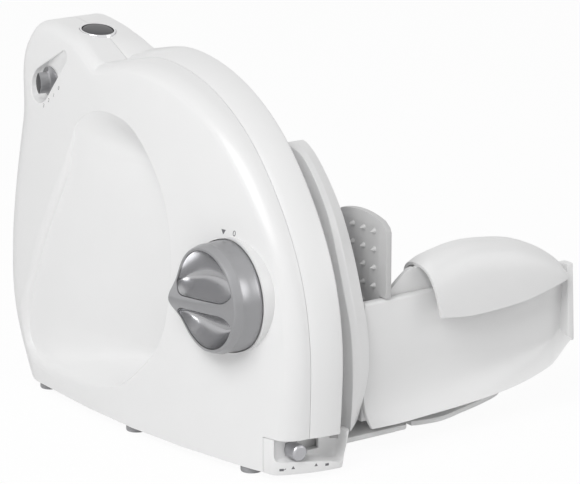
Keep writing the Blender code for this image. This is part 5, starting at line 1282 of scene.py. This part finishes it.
def dome_form(inset, count, fine):
    """The hand guard as a solid, or the room inside it when it is set in by a wall."""
    rings = []
    left = between(DOME_LEFT, DOME_LEFT[-1][0])
    foot = DOME_LEFT[0][1]
    for share in dome_shares(count):
        crest = along(DOME_CREST, left + (DOME_RIGHT_X - left) * share) - inset
        lip = along(DOME_LIP, foot + (DOME_RIGHT_X - foot) * share)
        close = max(0.0, (share - 0.94) / 0.06)
        wide = DOME_HALF_Y * (1 - 0.16 * max(0.0, (share - 0.55) / 0.45) ** 2) * (1 - 0.05 * close) - inset
        crest -= 0.0008 * close ** 2
        level = []
        for k in range(fine + 1):
            angle = math.pi * k / fine
            out = -math.copysign(abs(math.cos(angle)) ** 0.7, math.cos(angle))
            z = lip + (crest - lip) * max(math.sin(angle), 0.0) ** 0.8
            near = between(DOME_LEFT, z)
            x = near + (DOME_RIGHT_X - near) * share
            if inset:
                x += {0.0: -0.004, 1.0: -inset}.get(share, 0.0)
            level.append(Vector((x, DOME_MIDDLE_Y + wide * out, z)))
        if inset:
            level[0].z -= 0.010
            level[-1].z -= 0.010
            level.insert(1, Vector((level[0].x, level[0].y, lip + 0.0005)))
            level.insert(-1, Vector((level[-1].x, level[-1].y, lip + 0.0005)))
        rings.append(level)
    return loft(rings)


def build_dome():
    dome = dome_form(0.0, 44, 56)
    carve(dome, dome_form(DOME_WALL, 22, 28))
    carve(dome, slab((DOME_RIGHT_X - 0.014, -0.0062, 0.060),
                     (DOME_RIGHT_X + 0.010, 0.0098, WALL_TOP_Z + 0.0016)))
    settle(dome, "guard_dome", "food_holder", "white_plastic", ["hand_guard"], 40)


def build_holder_panel():
    left = between(DOME_LEFT, DOME_LEFT[-1][0])
    low_x = SPIKED_X[1] + GAP
    outline = [(low_x, 0.076), (low_x, 0.0925), (0.0842, 0.0985), (0.0895, 0.1030), (0.0947, 0.1068),
               (left - 0.0022, 0.1078)]
    for k in range(31):
        share = 0.8 * k / 30
        x = left + (DOME_RIGHT_X - left) * share
        outline.append((x, between(DOME_CREST, x) - DOME_WALL - 0.0006))
    outline.append((outline[-1][0], 0.076))
    panel = soften(prism("Y", outline, *PANEL_Y), 0.0004, 60)
    settle(panel, "guard_panel", "food_holder", "white_plastic", ["holder_panel"], 32)


def spikes():
    """The plate's short spikes, in rows, as one object."""
    root = SPIKED_X[0]
    profile = [(0.0, root + 0.0003), (0.0021, root + 0.0003), (0.0017, root - 0.0002),
               (0.0003, root - 0.0028), (0.0, root - 0.0030)]
    first = Vector((0, 0.0110, 0.1330))
    spike = turned("X", (0.0, 0.0), profile, 12)
    spike.data.transform(Matrix.Translation(first))
    made = [spike]
    for row in range(9):
        for column in range(4):
            if row == column == 0:
                continue
            place = Vector((0, first.y + SPIKE_PITCH * column * 0.96, first.z - SPIKE_PITCH * row))
            copy = linked("spike", spike.data.copy())
            copy.data.transform(Matrix.Translation(place - first))
            made.append(copy)
    return joined(made)


def build_spiked_plate():
    front, rear = SPIKED_Y
    edge = [(PANEL_Y[0] + 0.0002, 0.0275), (rear, 0.0275), (rear, SPIKED_TOP_Z - 0.004),
            (rear - 0.0015, SPIKED_TOP_Z - 0.0010)]
    middle = (front + rear) / 2
    for k in range(1, 24):
        y = rear - 0.004 - (rear - front - 0.008) * k / 24
        edge.append((y, SPIKED_TOP_Z + 0.005 * (1 - ((y - middle) / (rear - middle)) ** 2)))
    edge += [(front + 0.0015, SPIKED_TOP_Z - 0.0010), (front, SPIKED_TOP_Z - 0.004),
             (front, WALL_TOP_Z + 0.0006), (PANEL_Y[0] + 0.0002, WALL_TOP_Z + 0.0006)]
    plate = soften(prism("X", edge, *SPIKED_X), 0.0004, 60)
    carve(plate, spikes(), "UNION")
    # The plate's grey finish is painted shade, for the shade that the housing casts on its left face.
    settle(plate, "spike_plate", "food_holder", "grey_plastic", ["spiked_plate"], 40)


# Blade, its carrier and its guard

def build_blade():
    """The serrated blade: a flat ring of six circles, two of them waved."""
    depth = bpy.context.scene.slicer_shapes.tooth_depth
    per_tooth = 12
    count = BLADE_TEETH * per_tooth
    rows = [(HUB_HOLE, BLADE_BACK_X, 0), (BLADE_RADIUS - 0.006, BLADE_BACK_X, 0),
            (BLADE_RADIUS, BLADE_FACE_X - 0.00012, 1), (BLADE_RADIUS, BLADE_FACE_X, 1),
            (0.060, BLADE_FACE_X, 0), (HUB_HOLE, BLADE_FACE_X, 0)]
    points = []
    for radius, x, edge in rows:
        for k in range(count):
            angle = 2 * math.pi * k / count
            reach = radius - edge * depth * (1 - abs(math.cos(math.pi * k / per_tooth)) ** 3)
            across, up = reach * math.cos(angle), reach * math.sin(angle)
            points.append((x, BLADE_AXIS[0] + across, BLADE_AXIS[1] + up))
    faces = []
    for level in range(len(rows)):
        here, above = level * count, (level + 1) % len(rows) * count
        for k in range(count):
            after = (k + 1) % count
            faces.append((here + k, here + after, above + after, above + k))
    data = bpy.data.meshes.new("blade")
    data.from_pydata(points, [], faces)
    settle(face_outwards(linked("blade", data)), "toothed_blade", "blade", "blade_steel", ["blade"], 25)


def build_hub():
    low, high = span("blade_carrier")
    radius = (high.z - low.z) / 2
    boss = HUB_HOLE - GAP
    seat = BLADE_BACK_X - GAP
    profile = [(0.0, low.x), (radius - 0.0005, low.x), (radius, low.x + 0.0005), (radius, seat - 0.0003),
               (radius - 0.0003, seat), (boss, seat), (boss, BLADE_FACE_X), (0.0, BLADE_FACE_X)]
    settle(turned("X", BLADE_AXIS, profile), "blade_hub", "blade", "dark_plastic", ["blade_carrier"], 30)


def build_lock_cap():
    low, high = span("blade_lock_cap")
    radius = (high.z - low.z) / 2
    profile = [(0.0, low.x), (radius, low.x), (radius, high.x - 0.0006), (radius - 0.0002, high.x - 0.0002),
               (radius - 0.0006, high.x), (0.0, high.x)]
    cap = turned("X", BLADE_AXIS, profile)
    y, z = BLADE_AXIS
    carve(cap, slab((high.x - 0.0007, y - 0.0095, z - 0.0011), (high.x + 0.001, y + 0.0095, z + 0.0011)))
    settle(cap, "blade_cap", "blade", "steel", ["blade_lock_cap"], 30)


def build_shroud():
    """The guard behind the blade and round its rear half."""
    inner = BLADE_RADIUS + 0.0025
    outer = inner + 0.003
    back = RIM_X + GAP
    wall = back + WALL
    lip = BLADE_FACE_X + 0.0013
    foot = DRUM_RADIUS + 0.001
    profile = [(foot, back), (outer - 0.0006, back), (outer, back + 0.0006), (outer, lip - 0.0008),
               (outer - 0.0003, lip - 0.0002), (outer - 0.0009, lip), (inner + 0.0009, lip),
               (inner + 0.0003, lip - 0.0002), (inner, lip - 0.0008), (inner, wall + 0.0015),
               (inner - 0.0005, wall + 0.0005), (inner - 0.0015, wall), (foot, wall)]
    shroud = turned("X", BLADE_AXIS, profile, 120, math.radians(150), math.radians(8))
    settle(shroud, "blade_shroud", "housing", "white_plastic", ["blade_guard"], 35)


# Screws and the cord's gland

def build_screws():
    """Cross-head screws, one for each screw of the frame."""
    for node in [name for name in frame["nodes"] if "_screw_" in name]:
        low, high = span(node)
        upright = node.startswith("base")
        axis = "Z" if upright else "X"
        centre = centre_of(node, axis)
        head, tip, way = (low.z, high.z, 1) if upright else (high.x, low.x, -1)
        profile = [(0.0, head), (0.0026, head), (0.0031, head + way * 0.0004), (0.0032, head + way * 0.0012),
                   (0.0015, head + way * 0.0014)]
        place = 0.0014
        while place < abs(tip - head) - 0.0016:
            profile += [(0.0015, head + way * place), (0.0012, head + way * (place + 0.0005))]
            place += 0.0010
        profile += [(0.0012, tip - way * 0.0012), (0.0, tip)]
        screw = turned(axis, centre, profile, 40)
        for first, second in ((0.0020, 0.0004), (0.0004, 0.0020)):
            low_corner = on_axis(axis, head - 0.001, centre[0] - first, centre[1] - second)
            high_corner = on_axis(axis, head + 0.001, centre[0] + first, centre[1] + second)
            carve(screw, slab(low_corner, high_corner))
        settle(screw, "cross_" + node, "housing", "steel", [node], 30)


def build_gland():
    low, high = span("cable_bush")
    bevel = (high.y - low.y) / 50
    profile = [(0.003, low.y), (0.0045, low.y), (0.0045, 0.2632), (0.0072, 0.2632), (0.0072, 0.2655),
               (0.0069, 0.2661), (0.0055, 0.2672), (0.0046, high.y - 0.0002), (0.0040, high.y),
               (0.0033, high.y), (0.003, high.y - bevel)]
    gland = turned("Y", centre_of("cable_bush", "Y"), profile, 72)
    settle(gland, "cord_gland", "housing", "rubber", ["cable_bush"], 40)


# Printed marks

def lettering(text, height):
    """A number as a flat mesh in the XY plane, centred, one number's height tall."""
    bpy.ops.object.select_all(action="DESELECT")
    bpy.ops.object.text_add()
    obj = bpy.context.object
    obj.data.body = text
    obj.data.size = height * 1.38
    obj.data.align_x = "CENTER"
    obj.data.align_y = "CENTER"
    bpy.ops.object.convert(target="MESH")
    return bpy.context.object


def arrow(height, turn):
    bpy.ops.object.select_all(action="DESELECT")
    bpy.ops.mesh.primitive_circle_add(vertices=3, radius=height / 1.5, fill_type="NGON")
    obj = bpy.context.object
    obj.data.transform(Matrix.Rotation(turn, 4, "Z"))
    return obj


def padlock(height, shut):
    """A small lock sign: a block with a bow over it, which stands open to the side when it isn't shut."""
    bow_data = bpy.data.meshes.new("bow")
    bow_data.from_pydata([(0.22 * height, 0, 0), (0.34 * height, 0, 0)], [(0, 1)], [])
    bow = edit(linked("bow", bow_data))
    bpy.ops.mesh.spin(steps=16, angle=math.pi, center=(0, 0, 0), axis=(0, 0, 1))
    bpy.ops.object.mode_set(mode="OBJECT")
    bow.data.transform(Matrix.Translation((0.0 if shut else 0.55 * height, 0.02 * height, 0)))
    bpy.ops.mesh.primitive_plane_add(size=1)
    block = bpy.context.object
    size = Matrix.Diagonal((0.85 * height, 0.55 * height, 1, 1))
    block.data.transform(Matrix.Translation((0, -0.28 * height, 0)) @ size)
    return joined([block, bow])


def thicken(mark):
    """Gives a flat mark its ink's thickness: its front on height 1, its back on height 0."""
    take(mark)
    bpy.ops.object.transform_apply(location=True, rotation=True, scale=True)
    edit(mark)
    bpy.ops.mesh.extrude_region_move(TRANSFORM_OT_translate={"value": (0, 0, 1.0)})
    return face_outwards(mark)


def print_on_side(mark, name, y, z):
    """Lays a mark on the bowed left face."""
    thicken(mark)
    for vert in mark.data.vertices:
        across, up, front = vert.co
        spot = (y - across, z + up)
        vert.co = (face_x(*spot) + 0.00005 - (INK_LIFT + 0.00005) * front, *spot)
    settle(face_outwards(mark), name, "housing", "ink")


def block_front_y(x):
    return between(block_plan()[:-2], x)


def print_on_block(mark, name, x, z):
    """Lays a mark on the front of the base's block."""
    thicken(mark)
    for vert in mark.data.vertices:
        across, up, front = vert.co
        vert.co = (x + across, block_front_y(x + across) + 0.00005 - (INK_LIFT + 0.0001) * front, z + up)
    settle(face_outwards(mark), name, "housing", "ink")


def build_marks():
    for text, y, z in (("3", 0.2268, 0.1803), ("2", 0.2217, 0.1846), ("1", 0.2166, 0.1887),
                       ("0", 0.2119, 0.1940)):
        print_on_side(lettering(text, 0.0024), f"mark_speed_{text}", y, z)
    print_on_side(arrow(0.0030, math.pi), "mark_knob_arrow", 0.0358, 0.1416)
    print_on_side(lettering("0", 0.0034), "mark_knob_zero", 0.0275, 0.1416)
    print_on_block(padlock(0.0026, False), "mark_lock_open", -0.0094, 0.0080)
    print_on_block(arrow(0.0018, 0.0), "mark_lock_open_arrow", -0.0030, 0.0080)
    print_on_block(arrow(0.0018, 0.0), "mark_lock_shut_arrow", 0.0105, 0.0082)
    print_on_block(padlock(0.0026, True), "mark_lock_shut", 0.0174, 0.0083)


# Frame nodes that stay

def dress_frame():
    """Gives each CAD node its slot's material."""
    for row in frame["record"]["subparts"]:
        data = frame["nodes"][row["node"]].data
        data.materials.clear()
        data.materials.append(finish(row["material_slot"]))


# Stage

def build_floor():
    """A white floor that keeps the object's shadow and shows nearly white to the camera."""
    stage = bpy.context.scene.slicer_stage
    bpy.ops.object.select_all(action="DESELECT")
    bpy.ops.mesh.primitive_plane_add(size=16.0, location=(0, 0, -0.0004))
    floor = bpy.context.object
    floor.name = "floor"
    graph = Graph("floor", stage.floor, 0.9)
    graph.tint(graph.noise(3, 2), stage.floor, 0.995, 1.005)
    glow = graph.node("ShaderNodeEmission", {}, {"Color": (1, 1, 1, 1), "Strength": 1.0})
    seen = graph.node("ShaderNodeLightPath", {}, {}, "Is Camera Ray")
    surface = Value(graph, graph.shader.outputs[0])
    mixed = graph.node("ShaderNodeMixShader", {}, {0: 0.95 * seen, 1: surface, 2: glow})
    graph.links.new(mixed.socket, graph.nodes["Material Output"].inputs[0])
    floor.data.materials.append(graph.material)


def build_room():
    """Light from all round, which is plain white wherever it is seen."""
    world = bpy.data.worlds.new("room")
    world.use_nodes = True
    bpy.context.scene.world = world
    nodes, links = world.node_tree.nodes, world.node_tree.links
    background = nodes["Background"]
    background.inputs["Color"].default_value = (1, 1, 1, 1)
    path = nodes.new("ShaderNodeLightPath")
    plain = path.outputs["Is Camera Ray"]
    for output in ("Is Glossy Ray", "Is Transmission Ray"):
        larger = nodes.new("ShaderNodeMath")
        larger.operation = "MAXIMUM"
        links.new(plain, larger.inputs[0])
        links.new(path.outputs[output], larger.inputs[1])
        plain = larger.outputs[0]
    strength = nodes.new("ShaderNodeMapRange")
    strength.inputs["To Min"].default_value = bpy.context.scene.slicer_stage.room
    strength.inputs["To Max"].default_value = 1.0
    links.new(plain, strength.inputs["Value"])
    links.new(strength.outputs[0], background.inputs["Strength"])


def build_lamp(name, place, size, energy):
    lamp = bpy.data.lights.new(name, "AREA")
    lamp.shape = "DISK"
    lamp.size = size
    lamp.energy = energy
    obj = linked(name, lamp)
    obj.location = place
    obj.rotation_euler = (LAMP_AIM - Vector(place)).to_track_quat("-Z", "Y").to_euler()


def build_camera():
    camera = bpy.data.cameras.new("camera")
    camera.lens = CAMERA_LENS
    camera.sensor_width = 36.0
    eye = linked("camera", camera)
    eye.location = CAMERA_POINT + CORNER
    eye.rotation_euler = CAMERA_TURN
    bpy.context.scene.camera = eye
    bpy.context.scene.view_settings.view_transform = "Standard"


def build_stage():
    stage = bpy.context.scene.slicer_stage
    build_floor()
    build_room()
    build_lamp("key", (-1.3, -0.7, 1.5), 1.3, stage.key)
    build_lamp("fill", (1.4, -1.6, 0.9), 1.2, stage.fill)
    build_camera()


# Operators

class Step:
    """What the operators share: each one calls its builders in turn."""

    def execute(self, context):
        for build in self.builds:
            build()
        return {"FINISHED"}


class SLICER_OT_stage(Step, bpy.types.Operator):
    """Add the floor, the lights and the camera"""

    bl_idname = "slicer.stage"
    bl_label = "Stage"
    builds = (build_stage,)


class SLICER_OT_frame_finish(Step, bpy.types.Operator):
    """Give the drive, the switches and the other inner pieces their materials"""

    bl_idname = "slicer.frame_finish"
    bl_label = "Inner Pieces"
    builds = (dress_frame,)


class SLICER_OT_housing(Step, bpy.types.Operator):
    """Add the two shells of the housing"""

    bl_idname = "slicer.housing"
    bl_label = "Housing"
    builds = (build_left_housing, build_right_housing)


class SLICER_OT_base(Step, bpy.types.Operator):
    """Add the base, the carriage deck and the feet"""

    bl_idname = "slicer.base"
    bl_label = "Base and Deck"
    builds = (build_base, build_deck, build_feet)


class SLICER_OT_stop_plate(Step, bpy.types.Operator):
    """Add the stop plate that sets the slice's thickness"""

    bl_idname = "slicer.stop_plate"
    bl_label = "Stop Plate"
    builds = (build_stop_plate,)


class SLICER_OT_knob(Step, bpy.types.Operator):
    """Add the thickness knob with its polished scoops"""

    bl_idname = "slicer.knob"
    bl_label = "Thickness Knob"
    builds = (build_knob,)


class SLICER_OT_controls(Step, bpy.types.Operator):
    """Add the speed lever, the safety button and the carriage lock"""

    bl_idname = "slicer.controls"
    bl_label = "Controls"
    builds = (build_speed_lever, build_button, build_spring, build_lock)


class SLICER_OT_carriage(Step, bpy.types.Operator):
    """Add the sliding carriage"""

    bl_idname = "slicer.carriage"
    bl_label = "Carriage"
    builds = (build_carriage,)


class SLICER_OT_food_holder(Step, bpy.types.Operator):
    """Add the food holder: hand guard, panel and spiked plate"""

    bl_idname = "slicer.food_holder"
    bl_label = "Food Holder"
    builds = (build_dome, build_holder_panel, build_spiked_plate)


class SLICER_OT_blade(Step, bpy.types.Operator):
    """Add the round blade, its hub and its guard"""

    bl_idname = "slicer.blade"
    bl_label = "Blade"
    builds = (build_blade, build_hub, build_lock_cap, build_shroud)


class SLICER_OT_fasteners(Step, bpy.types.Operator):
    """Add the screws and the cord's gland"""

    bl_idname = "slicer.fasteners"
    bl_label = "Screws and Gland"
    builds = (build_screws, build_gland)


class SLICER_OT_marks(Step, bpy.types.Operator):
    """Add the printed numbers and arrows"""

    bl_idname = "slicer.marks"
    bl_label = "Printed Marks"
    builds = (build_marks,)


OPERATORS = (
    SLICER_OT_stage, SLICER_OT_frame_finish, SLICER_OT_housing, SLICER_OT_base,
    SLICER_OT_stop_plate, SLICER_OT_knob, SLICER_OT_controls, SLICER_OT_carriage,
    SLICER_OT_food_holder, SLICER_OT_blade, SLICER_OT_fasteners, SLICER_OT_marks,
)
SETTINGS = {"slicer_finishes": FinishSettings, "slicer_shapes": ShapeSettings, "slicer_stage": StageSettings}


class SLICER_PT_panel(bpy.types.Panel):
    """The slicer's settings, and a button for each of its pieces"""

    bl_label = "Food Slicer"
    bl_space_type = "VIEW_3D"
    bl_region_type = "UI"
    bl_category = "Slicer"

    def draw(self, context):
        for name, group in SETTINGS.items():
            box = self.layout.box()
            for key in group.__annotations__:
                box.prop(getattr(context.scene, name), key)
        for operator in OPERATORS:
            self.layout.operator(operator.bl_idname)


def register():
    for group in SETTINGS.values():
        bpy.utils.register_class(group)
    for name, group in SETTINGS.items():
        setattr(bpy.types.Scene, name, PointerProperty(type=group))
    for operator in OPERATORS:
        bpy.utils.register_class(operator)
    bpy.utils.register_class(SLICER_PT_panel)


def unregister():
    bpy.utils.unregister_class(SLICER_PT_panel)
    for operator in reversed(OPERATORS):
        bpy.utils.unregister_class(operator)
    for name, group in SETTINGS.items():
        delattr(bpy.types.Scene, name)
        bpy.utils.unregister_class(group)


def main():
    register()
    for operator in OPERATORS:
        group, name = operator.bl_idname.split(".")
        getattr(getattr(bpy.ops, group), name)()


if __name__ == "__main__":
    main()
